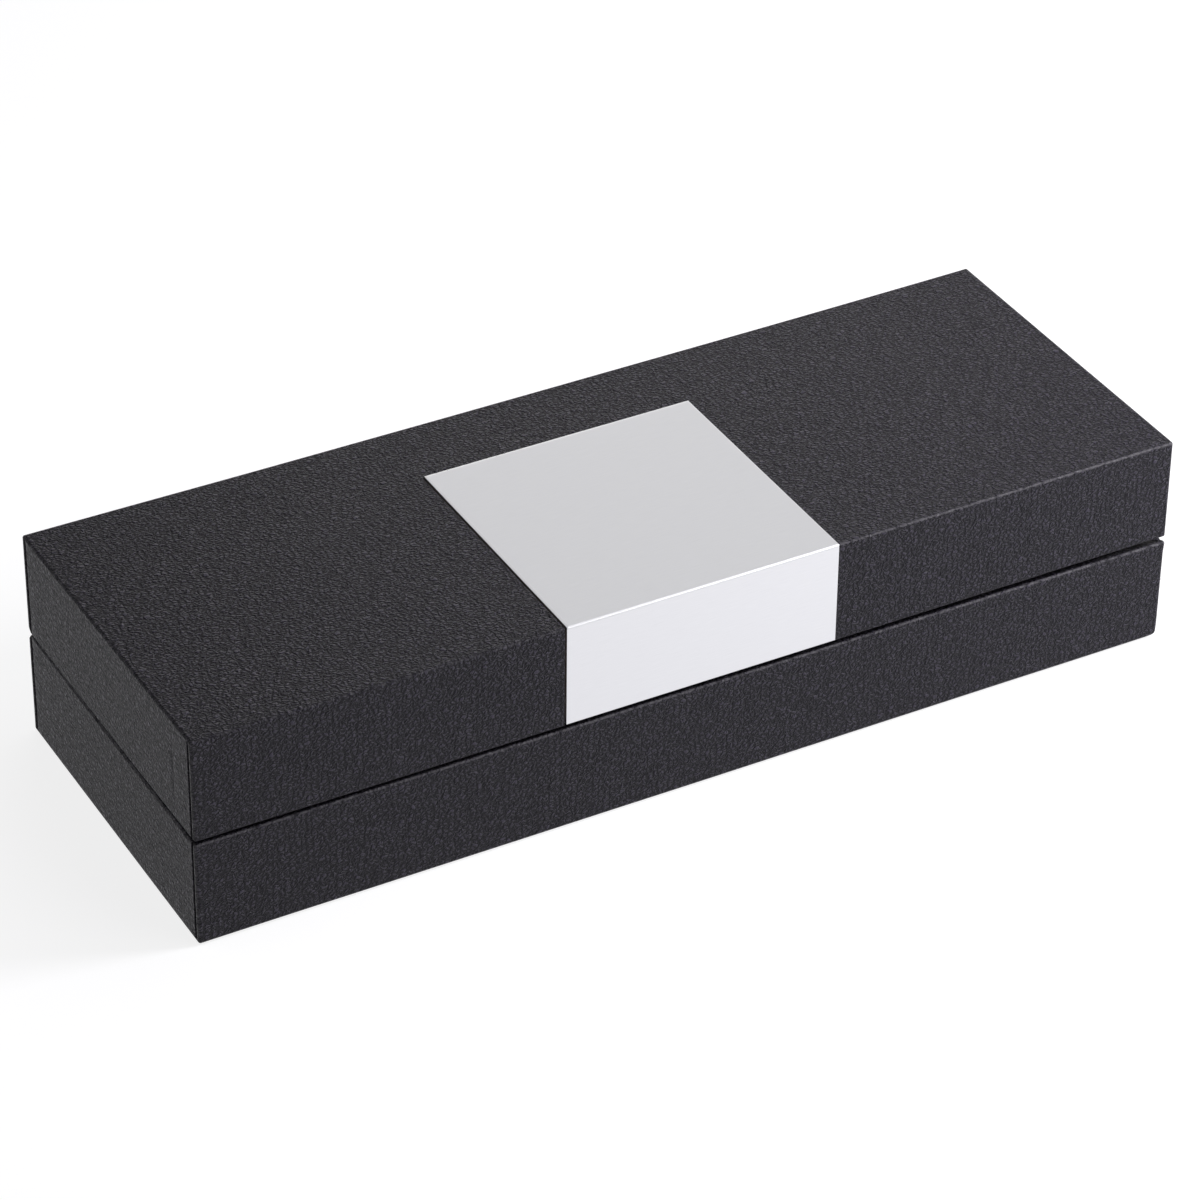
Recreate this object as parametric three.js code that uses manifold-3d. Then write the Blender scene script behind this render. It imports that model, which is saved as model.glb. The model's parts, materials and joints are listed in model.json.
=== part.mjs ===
// Pen storage box: a board case covered in black leatherette, with a hinged lid,
// an aluminium plate folded over the lid's front edge, and a velour bed for two pens.
// Millimetres, +Z up. X runs along the length, the front faces -Y.
// The origin is the middle of the underside.

import * as THREE from 'three';
import { mergeVertices, toCreasedNormals } from 'three/addons/utils/BufferGeometryUtils.js';
import Module from 'manifold-3d';

const wasm = await Module();
wasm.setup();

// Driving dimensions of the case.
const boxLength = 180;
const boxDepth = 64.4;
const baseHeight = 19.9;
const lidHeight = 18.9;
const partingGap = 0.1;
const lidAjar = THREE.MathUtils.degToRad(0.45);

// Boards and covering. The glue line is the room left between pieces stuck together.
const wallBoard = 2.4;
const panelBoard = 2;
const wrapThickness = 0.6;
const glueLine = 0.1;
const edgeRadius = 0.4;
const turnIn = 8;
const underTurnIn = 12;
const lapInset = 0.75;
const lapWidth = 0.2;
const lapDepth = 0.25;

// Underside sheet.
const sheetThickness = 0.2;
const sheetMargin = 3;

// Groove along the back that lets the lid swing past upright.
const hingeGrooveDepth = 1;
const hingeGrooveHeight = 1.1;

// Barbed hinges pressed into slots in the two back walls.
const hingeInset = 31;
const hingeWidth = 20;
const hingeKnuckles = 5;
const knuckleGap = 0.15;
const leafThickness = 0.4;
const leafLength = 8;
const pinRadius = 0.45;
const pinClearance = 0.05;
const pinHeadRadius = 0.72;
const pinHeadLength = 0.3;
const hingeClearance = 0.1;
const curlEnd = THREE.MathUtils.degToRad(110);
const barbPitch = 1.4;
const barbDepth = 0.45;
const barbStart = 2;

// Aluminium plate, let in flush and pushed against the right side of its recess.
const plateWidth = 49.9;
const plateReach = 49.2;
const plateThickness = 0.6;
const plateBendRadius = 0.75;
const plateProud = 0.05;
const plateGapLeft = 0.35;
const plateGapRight = 0.1;
const plateGapBack = 0.15;
const plateFoot = 0.1;
const tapeThickness = 0.2;
const tapeMargin = 2.5;

// Lining strips inside both halves.
const liningThickness = 0.8;
const liningDrop = 1.2;
const liningRadius = 0.3;

// Pen bed: a foam block under a velour cover. Each groove lies a little nearer the middle
// of the bed than the middle of its own half.
const bedDrop = 5;
const bedClearance = 0.3;
const bedEdgeRadius = 1.4;
const velourThickness = 0.6;
const penGrooveRadius = 7;
const penGrooveMargin = 9;
const penRowShift = 0.6;
const scoopRadius = 11;
const scoopRise = 3.5;
const scoopLength = 47;

// Elastic loops, one over each pen groove.
const loopWidth = 7;
const loopThickness = 0.8;
const loopRise = 1.4;
const loopTuck = 4;
const loopLand = 1.4;
const loopInset = 34;
const slitClearance = 0.3;

// Padded lid panel: satin over wadding on a card.
const padCard = 1;
const padEdge = 2.2;
const padCrown = 5;
const padInset = 0.6;
const padDrawIn = 0.9;

// Allowance by which a cutting block runs past what it cuts.
const overrun = 2;

// Facets.
const edgeSteps = 3;
const curlSteps = 20;
const pinSides = 20;
const grooveSides = 28;
const grooveCapRings = 5;
const loopSteps = 10;
const padSteps = [24, 12];
const creaseAngle = THREE.MathUtils.degToRad(35);

// Heights and places that follow from the sizes above.
const baseUnder = sheetThickness + glueLine;
const lidRim = baseHeight + partingGap;
const lidTop = lidRim + lidHeight;
const front = -boxDepth / 2;
const back = boxDepth / 2;
const pivotY = back - hingeGrooveDepth;
const pivotZ = baseHeight + partingGap / 2;
const boardInset = wrapThickness + glueLine;
const wallInner = boardInset + wallBoard;
const flapOuter = wallInner + glueLine;
const flapInner = flapOuter + wrapThickness;
const liningOuter = flapInner + glueLine;
const liningInner = liningOuter + liningThickness;
const floorTop = baseUnder + boardInset + panelBoard;
const bedTop = baseHeight - bedDrop;
const bedEnd = boxLength / 2 - liningInner - bedClearance;
const bedSide = boxDepth / 2 - liningInner - bedClearance;
const penGrooveEnd = bedEnd - penGrooveMargin;
const penRow = bedSide / 2 - penRowShift;
const loopPlace = penGrooveEnd - loopInset;
const hingePlace = boxLength / 2 - hingeInset;
const ceiling = lidTop - boardInset - panelBoard;
const curlInner = pinRadius + pinClearance;
const knuckleRadius = curlInner + leafThickness;
const tapeDepth = plateThickness - plateProud + glueLine;
const recessDepth = tapeDepth + tapeThickness + glueLine;

// The two halves. Rim is the parting face, panel the closed outer face, and away
// points from the rim to the panel.
const base = { rim: baseHeight, panel: baseUnder, away: -1 };
const lid = { rim: lidRim, panel: lidTop, away: 1 };

const materials = {
  leatherette: finish(0x2b2a2e, 0.7, 0),
  board: finish(0x9a7f5f, 0.95, 0),
  paper: finish(0x1d1c1f, 0.95, 0),
  aluminium: finish(0xd2d2d5, 0.35, 1),
  tape: finish(0xd9d4c6, 0.8, 0),
  steel: finish(0xa9a7a2, 0.4, 1),
  velour: finish(0x17171b, 1, 0),
  foam: finish(0x4a4a4d, 1, 0),
  elastic: finish(0x111113, 0.9, 0),
  satin: finish(0xd9d5cb, 0.45, 0),
  card: finish(0xb8b1a2, 0.95, 0),
};

function finish(color, roughness, metalness) {
  return new THREE.MeshStandardMaterial({ color, roughness, metalness });
}

// A closed geometry as a solid that can be joined and cut.
function solid(geometry) {
  const bare = geometry.clone();
  bare.deleteAttribute('normal');
  bare.deleteAttribute('uv');
  const merged = mergeVertices(bare);
  const vertProperties = new Float32Array(merged.attributes.position.array);
  const triVerts = new Uint32Array(merged.index.array);
  return new wasm.Manifold(new wasm.Mesh({ numProp: 3, vertProperties, triVerts }));
}

function toGeometry(body) {
  const mesh = body.getMesh();
  const geometry = new THREE.BufferGeometry();
  geometry.setAttribute('position', new THREE.BufferAttribute(mesh.vertProperties, 3));
  geometry.setIndex(new THREE.BufferAttribute(mesh.triVerts, 1));
  return toCreasedNormals(geometry, creaseAngle);
}

function piece(name, body, material) {
  const mesh = new THREE.Mesh(toGeometry(body), material);
  mesh.name = name;
  return mesh;
}

// A block between two faces on each axis, given in either order.
function block([x0, x1], [y0, y1], [z0, z1]) {
  const geometry = new THREE.BoxGeometry(Math.abs(x1 - x0), Math.abs(y1 - y0), Math.abs(z1 - z0));
  geometry.translate((x0 + x1) / 2, (y0 + y1) / 2, (z0 + z1) / 2);
  return solid(geometry);
}

// An outline in (y, z) drawn out along X, or in (x, z) along Y, or in (x, y) along Z,
// centred on zero along the way that it is drawn.
const sweepBasis = {
  x: [new THREE.Vector3(0, 1, 0), new THREE.Vector3(0, 0, 1), new THREE.Vector3(1, 0, 0)],
  y: [new THREE.Vector3(1, 0, 0), new THREE.Vector3(0, 0, 1), new THREE.Vector3(0, -1, 0)],
  z: [new THREE.Vector3(1, 0, 0), new THREE.Vector3(0, 1, 0), new THREE.Vector3(0, 0, 1)],
};

function prism(shape, axis, length, steps = edgeSteps) {
  const geometry = new THREE.ExtrudeGeometry(shape, {
    depth: length,
    bevelEnabled: false,
    curveSegments: steps,
  });
  geometry.translate(0, 0, -length / 2);
  geometry.applyMatrix4(new THREE.Matrix4().makeBasis(...sweepBasis[axis]));
  return solid(geometry);
}

function anticlockwise(corners) {
  return THREE.ShapeUtils.area(corners) < 0 ? corners.slice().reverse() : corners;
}

function rectangle(x0, x1, y0, y1) {
  return [
    new THREE.Vector2(x0, y0),
    new THREE.Vector2(x1, y0),
    new THREE.Vector2(x1, y1),
    new THREE.Vector2(x0, y1),
  ];
}

// A convex outline with every side moved in by the same distance.
function insetCorners(corners, distance) {
  return corners.map((corner, i) => {
    const before = corners[(i + corners.length - 1) % corners.length];
    const after = corners[(i + 1) % corners.length];
    const arriving = corner.clone().sub(before).normalize();
    const leaving = after.clone().sub(corner).normalize();
    const inward = new THREE.Vector2(-arriving.y - leaving.y, arriving.x + leaving.x);
    return corner.clone().addScaledVector(inward, distance / (1 + arriving.dot(leaving)));
  });
}

// The outline with its corners rounded, each as far as its two sides allow.
function softShape(corners, radius) {
  const shape = new THREE.Shape();
  corners.forEach((corner, i) => {
    const before = corners[(i + corners.length - 1) % corners.length];
    const after = corners[(i + 1) % corners.length];
    const reach = Math.min(radius, before.distanceTo(corner) / 2, after.distanceTo(corner) / 2);
    const start = corner.clone().lerp(before, reach / before.distanceTo(corner));
    const end = corner.clone().lerp(after, reach / after.distanceTo(corner));
    if (i === 0) shape.moveTo(start.x, start.y);
    else shape.lineTo(start.x, start.y);
    shape.quadraticCurveTo(corner.x, corner.y, end.x, end.y);
  });
  return shape;
}

// The end profile of one half, in (y, z), with the hinge groove at its back rim.
function endProfile(half) {
  return anticlockwise([
    new THREE.Vector2(front, half.rim),
    new THREE.Vector2(pivotY, half.rim),
    new THREE.Vector2(back, half.rim + half.away * hingeGrooveHeight),
    new THREE.Vector2(back, half.panel),
    new THREE.Vector2(front, half.panel),
  ]);
}

// The outer form of one half: rounded along all three directions.
function outerForm(half) {
  const [low, high] = [Math.min(half.rim, half.panel), Math.max(half.rim, half.panel)];
  const end = softShape(endProfile(half), edgeRadius);
  const side = softShape(rectangle(-boxLength / 2, boxLength / 2, low, high), edgeRadius);
  const plan = softShape(rectangle(-boxLength / 2, boxLength / 2, front, back), edgeRadius);
  return prism(end, 'x', boxLength)
    .intersect(prism(side, 'y', boxDepth + overrun))
    .intersect(prism(plan, 'z', 2 * (lidTop + overrun)));
}

// The same half without its rounding, moved in by a distance on every side.
function innerForm(half, distance) {
  const end = new THREE.Shape(insetCorners(endProfile(half), distance));
  return prism(end, 'x', boxLength - 2 * distance);
}

// An upright block whose plan is the box's own, moved in on all four sides.
function planBlock(distance, z0, z1) {
  const halfLength = boxLength / 2 - distance;
  return block([-halfLength, halfLength], [front + distance, back - distance], [z0, z1]);
}

// The five boards of one half, cut from its inner form.
function boards(half) {
  const core = innerForm(half, boardInset);
  const panelInner = half.panel - half.away * (boardInset + panelBoard);
  const wallTop = panelInner - half.away * glueLine;
  const past = half.rim - half.away * overrun;
  const halfLength = boxLength / 2;
  const endInner = halfLength - wallInner;
  const sideY = [front + wallInner + glueLine, back - wallInner - glueLine];
  const outside = half.panel + half.away * overrun;
  return {
    panel: core.intersect(block([-halfLength, halfLength], [front, back], [panelInner, outside])),
    front: core.intersect(
      block([-halfLength, halfLength], [front, front + wallInner], [past, wallTop]),
    ),
    back: core.intersect(
      block([-halfLength, halfLength], [back - wallInner, back], [past, wallTop]),
    ),
    left: core.intersect(block([-halfLength, -endInner], sideY, [past, wallTop])),
    right: core.intersect(block([endInner, halfLength], sideY, [past, wallTop])),
  };
}

// Shallow lines where the covering laps over itself beside each upright corner.
function lapLines(half) {
  const lines = [];
  for (const end of [-1, 1]) {
    for (const side of [-1, 1]) {
      const x = (end * boxLength) / 2;
      const y = side * (boxDepth / 2 - lapInset);
      lines.push(
        block(
          [x - end * lapDepth, x + end * overrun],
          [y - lapWidth / 2, y + lapWidth / 2],
          [half.rim - half.away * overrun, half.panel + half.away * overrun],
        ),
      );
    }
  }
  return wasm.Manifold.union(lines);
}

// Leatherette over the walls, turned over the rim and down the inside.
function wrap(half) {
  const rimFace = half.rim + half.away * wrapThickness;
  const past = half.rim - half.away * overrun;
  const flapEnd = half.rim + half.away * turnIn;
  const flap = planBlock(flapOuter, half.rim, flapEnd).subtract(
    planBlock(flapInner, past, flapEnd + half.away * overrun),
  );
  return outerForm(half)
    .subtract(innerForm(half, wrapThickness))
    .subtract(planBlock(flapInner, past, rimFace + half.away * overrun))
    .add(flap)
    .subtract(lapLines(half));
}

function hingeCentres() {
  return [-hingePlace, hingePlace];
}

// Room in one half for the knuckles and, deeper in, for the leaves.
function hingeRoom(half) {
  const reach = knuckleRadius + hingeClearance;
  const halfWidth = hingeWidth / 2 + pinHeadLength + 2 * hingeClearance;
  const leafY = pivotY - knuckleRadius;
  const leafEnd = pivotZ + half.away * (reach + leafLength + hingeClearance);
  const rooms = hingeCentres().flatMap((x) => [
    block(
      [x - halfWidth, x + halfWidth],
      [pivotY - reach, back + overrun],
      [pivotZ - half.away * overrun, pivotZ + half.away * reach],
    ),
    block(
      [x - hingeWidth / 2 - hingeClearance, x + hingeWidth / 2 + hingeClearance],
      [leafY - hingeClearance, leafY + leafThickness + hingeClearance],
      [pivotZ, leafEnd],
    ),
  ]);
  return wasm.Manifold.union(rooms);
}

// One hinge leaf seen from its end, in (y, z) about the pin: a flat leaf going up, and a
// curl that goes on round the pin.
function leafProfile() {
  const top = knuckleRadius + hingeClearance + leafLength;
  const turn = 2 * Math.PI + curlEnd;
  const shape = new THREE.Shape();
  shape.moveTo(-knuckleRadius, top);
  shape.lineTo(-knuckleRadius, 0);
  shape.absarc(0, 0, knuckleRadius, Math.PI, turn, false);
  shape.absarc(0, 0, curlInner, turn, Math.PI, true);
  shape.lineTo(-curlInner, top);
  return shape;
}

// The leaf seen from behind, in (x, z): its own knuckles as fingers at the pin, room for
// the other leaf's between them, and barbs up both sides.
function leafOutline(ownParity) {
  const pitch = hingeWidth / hingeKnuckles;
  const clear = knuckleRadius + hingeClearance;
  const low = -knuckleRadius - overrun;
  const top = clear + leafLength;
  const half = hingeWidth / 2;
  const points = [];
  for (let i = 0; i < hingeKnuckles; i += 1) {
    const own = i % 2 === ownParity;
    const x0 = i * pitch - half + (i === 0 ? 0 : knuckleGap / 2);
    const x1 = (i + 1) * pitch - half - (i === hingeKnuckles - 1 ? 0 : knuckleGap / 2);
    if (own) points.push([x0, clear], [x0, low], [x1, low], [x1, clear]);
    else if (i === 0) points.push([x0, clear]);
    else if (i === hingeKnuckles - 1) points.push([x1, clear]);
  }
  const rightBarbs = [];
  for (let z = clear + barbStart; z + barbPitch <= top; z += barbPitch) {
    rightBarbs.push([half, z], [half - barbDepth, z + barbPitch]);
  }
  const leftBarbs = rightBarbs.map(([x, z]) => [-x, z]).reverse();
  const shape = [...points, ...rightBarbs, [half - barbDepth, top], [barbDepth - half, top]];
  return new THREE.Shape([...shape, ...leftBarbs].map(([x, z]) => new THREE.Vector2(x, z)));
}

function hingeLeaf(half, x) {
  const ownParity = half === base ? 0 : 1;
  const profile = prism(leafProfile(), 'x', hingeWidth + overrun, curlSteps);
  const outline = prism(leafOutline(ownParity), 'y', 2 * (knuckleRadius + overrun));
  const leaf = toGeometry(profile.intersect(outline));
  if (half === base) leaf.rotateY(Math.PI);
  leaf.translate(x, pivotY, pivotZ);
  return solid(leaf);
}

// A headed pin, turned about its own axis and laid along X.
function hingePin(x) {
  const inner = hingeWidth / 2 + hingeClearance;
  const outer = inner + pinHeadLength;
  const profile = [
    [0, -outer],
    [pinHeadRadius, -outer],
    [pinHeadRadius, -inner],
    [pinRadius, -inner],
    [pinRadius, inner],
    [pinHeadRadius, inner],
    [pinHeadRadius, outer],
    [0, outer],
  ];
  const points = profile.map(([r, along]) => new THREE.Vector2(r, along));
  const geometry = new THREE.LatheGeometry(points, pinSides);
  geometry.rotateZ(-Math.PI / 2);
  geometry.translate(x, pivotY, pivotZ);
  return solid(geometry);
}

// The plate's recess, cut to a depth below the lid's outer faces and stopping at a height.
function plateRecess(depth, foot) {
  const x = [-plateWidth / 2 - plateGapLeft, plateWidth / 2 + plateGapRight];
  const topPart = block(
    x,
    [front - overrun, front + plateReach + plateGapBack],
    [lidTop - depth, lidTop + overrun],
  );
  const frontPart = block(x, [front - overrun, front + depth], [foot, lidTop + overrun]);
  return topPart.add(frontPart);
}

// Aluminium sheet folded once over the lid's top front edge.
function plate() {
  const outY = front - plateProud;
  const outZ = lidTop + plateProud;
  const endY = front + plateReach;
  const footZ = lidRim + plateFoot;
  const inner = plateBendRadius - plateThickness;
  const shape = new THREE.Shape();
  shape.moveTo(outY, footZ);
  shape.lineTo(outY + plateThickness, footZ);
  shape.lineTo(outY + plateThickness, outZ - plateBendRadius);
  shape.absarc(outY + plateBendRadius, outZ - plateBendRadius, inner, Math.PI, Math.PI / 2, true);
  shape.lineTo(endY, outZ - plateThickness);
  shape.lineTo(endY, outZ);
  shape.lineTo(outY + plateBendRadius, outZ);
  shape.absarc(
    outY + plateBendRadius,
    outZ - plateBendRadius,
    plateBendRadius,
    Math.PI / 2,
    Math.PI,
    false,
  );
  return prism(shape, 'x', plateWidth, 2 * edgeSteps);
}

function tapes() {
  const x = [tapeMargin - plateWidth / 2, plateWidth / 2 - tapeMargin];
  const farY = front + plateReach - tapeMargin;
  return {
    top: block(
      x,
      [front + recessDepth + tapeMargin, farY],
      [lidTop - tapeDepth - tapeThickness, lidTop - tapeDepth],
    ),
    front: block(
      x,
      [front + tapeDepth, front + tapeDepth + tapeThickness],
      [lidRim + boardInset + tapeMargin, lidTop - recessDepth - tapeMargin],
    ),
  };
}

// Four covered strips that line the inside of one half, from z0 up to z1.
function liningStrips(z0, z1) {
  const halfLength = boxLength / 2 - liningOuter;
  const halfDepth = boxDepth / 2 - liningOuter;
  const t = liningThickness;
  const long = (y) => softBlock([-halfLength, halfLength], [y, y + t], [z0, z1]);
  const run = halfDepth - t - glueLine;
  const short = (x) => softBlock([x, x + t], [-run, run], [z0, z1]);
  return {
    front: long(-halfDepth),
    back: long(halfDepth - t),
    left: short(-halfLength),
    right: short(halfLength - t),
  };
}

// A block with its long upper and lower edges rounded.
function softBlock([x0, x1], [y0, y1], [z0, z1]) {
  const end = prism(softShape(rectangle(y0, y1, z0, z1), liningRadius), 'x', boxLength);
  const side = prism(softShape(rectangle(x0, x1, z0, z1), liningRadius), 'y', boxLength);
  return end.intersect(side);
}

function capsule(radius, length, axis, x, y, z) {
  const geometry = new THREE.CapsuleGeometry(
    radius,
    length - 2 * radius,
    grooveCapRings,
    grooveSides,
  );
  if (axis === 'x') geometry.rotateZ(Math.PI / 2);
  geometry.translate(x, y, z);
  return solid(geometry);
}

// The bed's block with two pen grooves and a finger scoop across both, moved in by a
// distance all round, so that the foam follows the velour that covers it.
function bedForm(distance) {
  const halfLength = bedEnd - distance;
  const halfDepth = bedSide - distance;
  const low = floorTop + glueLine;
  const high = bedTop - distance;
  const reach = bedEdgeRadius;
  const end = softShape(rectangle(-halfDepth, halfDepth, low - reach, high), reach);
  const side = softShape(rectangle(-halfLength, halfLength, low - reach, high), reach);
  const plan = softShape(rectangle(-halfLength, halfLength, -halfDepth, halfDepth), reach);
  const cuts = [-1, 1].map((side) =>
    capsule(
      penGrooveRadius + distance,
      2 * (penGrooveEnd + distance),
      'x',
      0,
      side * penRow,
      bedTop,
    ),
  );
  const scoop = capsule(
    scoopRadius + distance,
    scoopLength + 2 * distance,
    'y',
    0,
    0,
    bedTop + scoopRise,
  );
  return prism(end, 'x', boxLength)
    .intersect(prism(side, 'y', boxDepth))
    .intersect(prism(plan, 'z', 2 * baseHeight))
    .intersect(block([-boxLength, boxLength], [front, back], [low, bedTop]))
    .subtract(wasm.Manifold.union([...cuts, scoop]));
}

// A taut elastic band over one groove, with both ends tucked down into the bed.
function penLoop(y) {
  const reach = penGrooveRadius + loopLand;
  const t = loopThickness;
  const underside = bedTop + glueLine;
  const foot = bedTop - loopTuck;
  const shape = new THREE.Shape();
  shape.moveTo(y - reach - t, foot);
  shape.lineTo(y - reach, foot);
  shape.lineTo(y - reach, underside);
  shape.quadraticCurveTo(y, underside + loopRise * 2, y + reach, underside);
  shape.lineTo(y + reach, foot);
  shape.lineTo(y + reach + t, foot);
  shape.lineTo(y + reach + t, underside + t);
  shape.quadraticCurveTo(y, underside + t + loopRise * 2, y - reach - t, underside + t);
  return shape;
}

// The slits that the two ends of a band go into.
function loopSlits(y) {
  const reach = penGrooveRadius + loopLand;
  const halfWidth = loopWidth / 2 + slitClearance;
  const slits = [-1, 1].map((side) => {
    const near = y + side * (reach - slitClearance);
    const far = y + side * (reach + loopThickness + slitClearance);
    return block(
      [loopPlace - halfWidth, loopPlace + halfWidth],
      [near, far],
      [bedTop - loopTuck - slitClearance, bedTop + overrun],
    );
  });
  return wasm.Manifold.union(slits);
}

// A crowned pad that hangs below a flat back, with its sides drawn in between the corners.
function cushion(length, depth, edge, crown, drawIn, zBack) {
  const [nx, ny] = padSteps;
  const positions = [];
  const rows = nx + 1;
  const point = (u, v, hang) => {
    const x = (u * length) / 2 - u * drawIn * (1 - v * v);
    const y = (v * depth) / 2 - v * drawIn * (1 - u * u);
    positions.push(x, y, zBack - hang);
  };
  for (const face of [0, 1]) {
    for (let j = 0; j <= ny; j += 1) {
      for (let i = 0; i <= nx; i += 1) {
        const u = (2 * i) / nx - 1;
        const v = (2 * j) / ny - 1;
        const swell = Math.sqrt((1 - u ** 4) * (1 - v ** 4));
        point(u, v, face * (edge + (crown - edge) * swell));
      }
    }
  }
  const index = [];
  const at = (face, i, j) => face * rows * (ny + 1) + j * rows + i;
  const quad = (a, b, c, d) => index.push(a, b, c, a, c, d);
  for (let j = 0; j < ny; j += 1) {
    for (let i = 0; i < nx; i += 1) {
      quad(at(0, i, j), at(0, i + 1, j), at(0, i + 1, j + 1), at(0, i, j + 1));
      quad(at(1, i, j), at(1, i, j + 1), at(1, i + 1, j + 1), at(1, i + 1, j));
    }
  }
  for (let i = 0; i < nx; i += 1) {
    quad(at(1, i, 0), at(1, i + 1, 0), at(0, i + 1, 0), at(0, i, 0));
    quad(at(0, i, ny), at(0, i + 1, ny), at(1, i + 1, ny), at(1, i, ny));
  }
  for (let j = 0; j < ny; j += 1) {
    quad(at(0, 0, j), at(0, 0, j + 1), at(1, 0, j + 1), at(1, 0, j));
    quad(at(1, nx, j), at(1, nx, j + 1), at(0, nx, j + 1), at(0, nx, j));
  }
  const geometry = new THREE.BufferGeometry();
  geometry.setAttribute('position', new THREE.Float32BufferAttribute(positions, 3));
  geometry.setIndex(index);
  return solid(geometry);
}

function makeBase() {
  const group = new THREE.Group();
  const room = hingeRoom(base);
  const walls = boards(base);
  const underOpening = planBlock(underTurnIn, -overrun, baseUnder + boardInset);
  const halfLength = boxLength / 2 - sheetMargin;
  const sheetY = [front + sheetMargin, back - sheetMargin];
  group.add(
    piece('base_floor_board', walls.panel, materials.board),
    piece('base_front_board', walls.front, materials.board),
    piece('base_back_board', walls.back.subtract(room), materials.board),
    piece('base_left_board', walls.left, materials.board),
    piece('base_right_board', walls.right, materials.board),
    piece('base_wrap', wrap(base).subtract(underOpening).subtract(room), materials.leatherette),
    piece(
      'base_underside_sheet',
      block([-halfLength, halfLength], sheetY, [0, sheetThickness]),
      materials.paper,
    ),
  );
  const strips = liningStrips(floorTop + glueLine, base.rim - liningDrop);
  for (const [side, strip] of Object.entries(strips)) {
    group.add(piece(`base_lining_${side}`, strip, materials.velour));
  }
  return group;
}

function makeBed() {
  const group = new THREE.Group();
  const rows = { front: -penRow, back: penRow };
  const slits = wasm.Manifold.union(Object.values(rows).map(loopSlits));
  const outside = bedForm(0).subtract(slits);
  const hollow = bedForm(velourThickness);
  const inside = bedForm(velourThickness + glueLine).subtract(slits);
  group.add(
    piece('pen_bed_foam', inside, materials.foam),
    piece('pen_bed_velour', outside.subtract(hollow), materials.velour),
  );
  for (const [row, y] of Object.entries(rows)) {
    const band = toGeometry(prism(penLoop(y), 'x', loopWidth, loopSteps));
    band.translate(loopPlace, 0, 0);
    group.add(piece(`pen_loop_${row}`, solid(band), materials.elastic));
  }
  return group;
}

// Everything that turns with the lid, drawn shut and level.
function makeLid() {
  const group = new THREE.Group();
  const room = hingeRoom(lid);
  const walls = boards(lid);
  const recess = plateRecess(recessDepth, lidRim);
  const cutOut = plateRecess(plateThickness + glueLine, lidRim - overrun);
  const tape = tapes();
  group.add(
    piece('lid_top_board', walls.panel.subtract(recess), materials.board),
    piece('lid_front_board', walls.front.subtract(recess), materials.board),
    piece('lid_back_board', walls.back.subtract(room), materials.board),
    piece('lid_left_board', walls.left, materials.board),
    piece('lid_right_board', walls.right, materials.board),
    piece('lid_wrap', wrap(lid).subtract(cutOut).subtract(room), materials.leatherette),
    piece('lid_plate', plate(), materials.aluminium),
    piece('lid_plate_tape_top', tape.top, materials.tape),
    piece('lid_plate_tape_front', tape.front, materials.tape),
  );
  const strips = liningStrips(lid.rim + liningDrop, ceiling - glueLine);
  for (const [side, strip] of Object.entries(strips)) {
    group.add(piece(`lid_lining_${side}`, strip, materials.satin));
  }
  const padLength = boxLength - 2 * (liningInner + padInset);
  const padDepth = boxDepth - 2 * (liningInner + padInset);
  const cardTop = ceiling - glueLine;
  const cardUnder = cardTop - padCard;
  const cardX = padLength / 2 - padDrawIn;
  const cardY = padDepth / 2 - padDrawIn;
  const pad = cushion(padLength, padDepth, padEdge, padCrown, padDrawIn, cardUnder - glueLine);
  group.add(
    piece(
      'lid_pad_card',
      block([-cardX, cardX], [-cardY, cardY], [cardUnder, cardTop]),
      materials.card,
    ),
    piece('lid_pad', pad, materials.satin),
  );
  return group;
}

function makeHinges(half) {
  const group = new THREE.Group();
  const names = ['left', 'right'];
  hingeCentres().forEach((x, i) => {
    const part = half === base ? 'base' : 'lid';
    group.add(piece(`hinge_${names[i]}_${part}_leaf`, hingeLeaf(half, x), materials.steel));
    if (half === base) {
      group.add(piece(`hinge_${names[i]}_pin`, hingePin(x), materials.steel));
    }
  });
  return group;
}

const penBox = new THREE.Group();
penBox.name = 'pen_storage_box';

const baseGroup = new THREE.Group();
baseGroup.add(makeBase(), makeBed(), makeHinges(base));

// The lid turns about the hinge pins and rests a little ajar.
const lidGroup = new THREE.Group();
lidGroup.position.set(0, pivotY, pivotZ);
lidGroup.rotation.x = -lidAjar;
const lidParts = new THREE.Group();
lidParts.position.set(0, -pivotY, -pivotZ);
lidParts.add(makeLid(), makeHinges(lid));
lidGroup.add(lidParts);

penBox.add(baseGroup, lidGroup);

export default penBox;
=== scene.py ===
import json
import math
from functools import partial

import bmesh
import bpy
from mathutils import Matrix, Vector, noise

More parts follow.
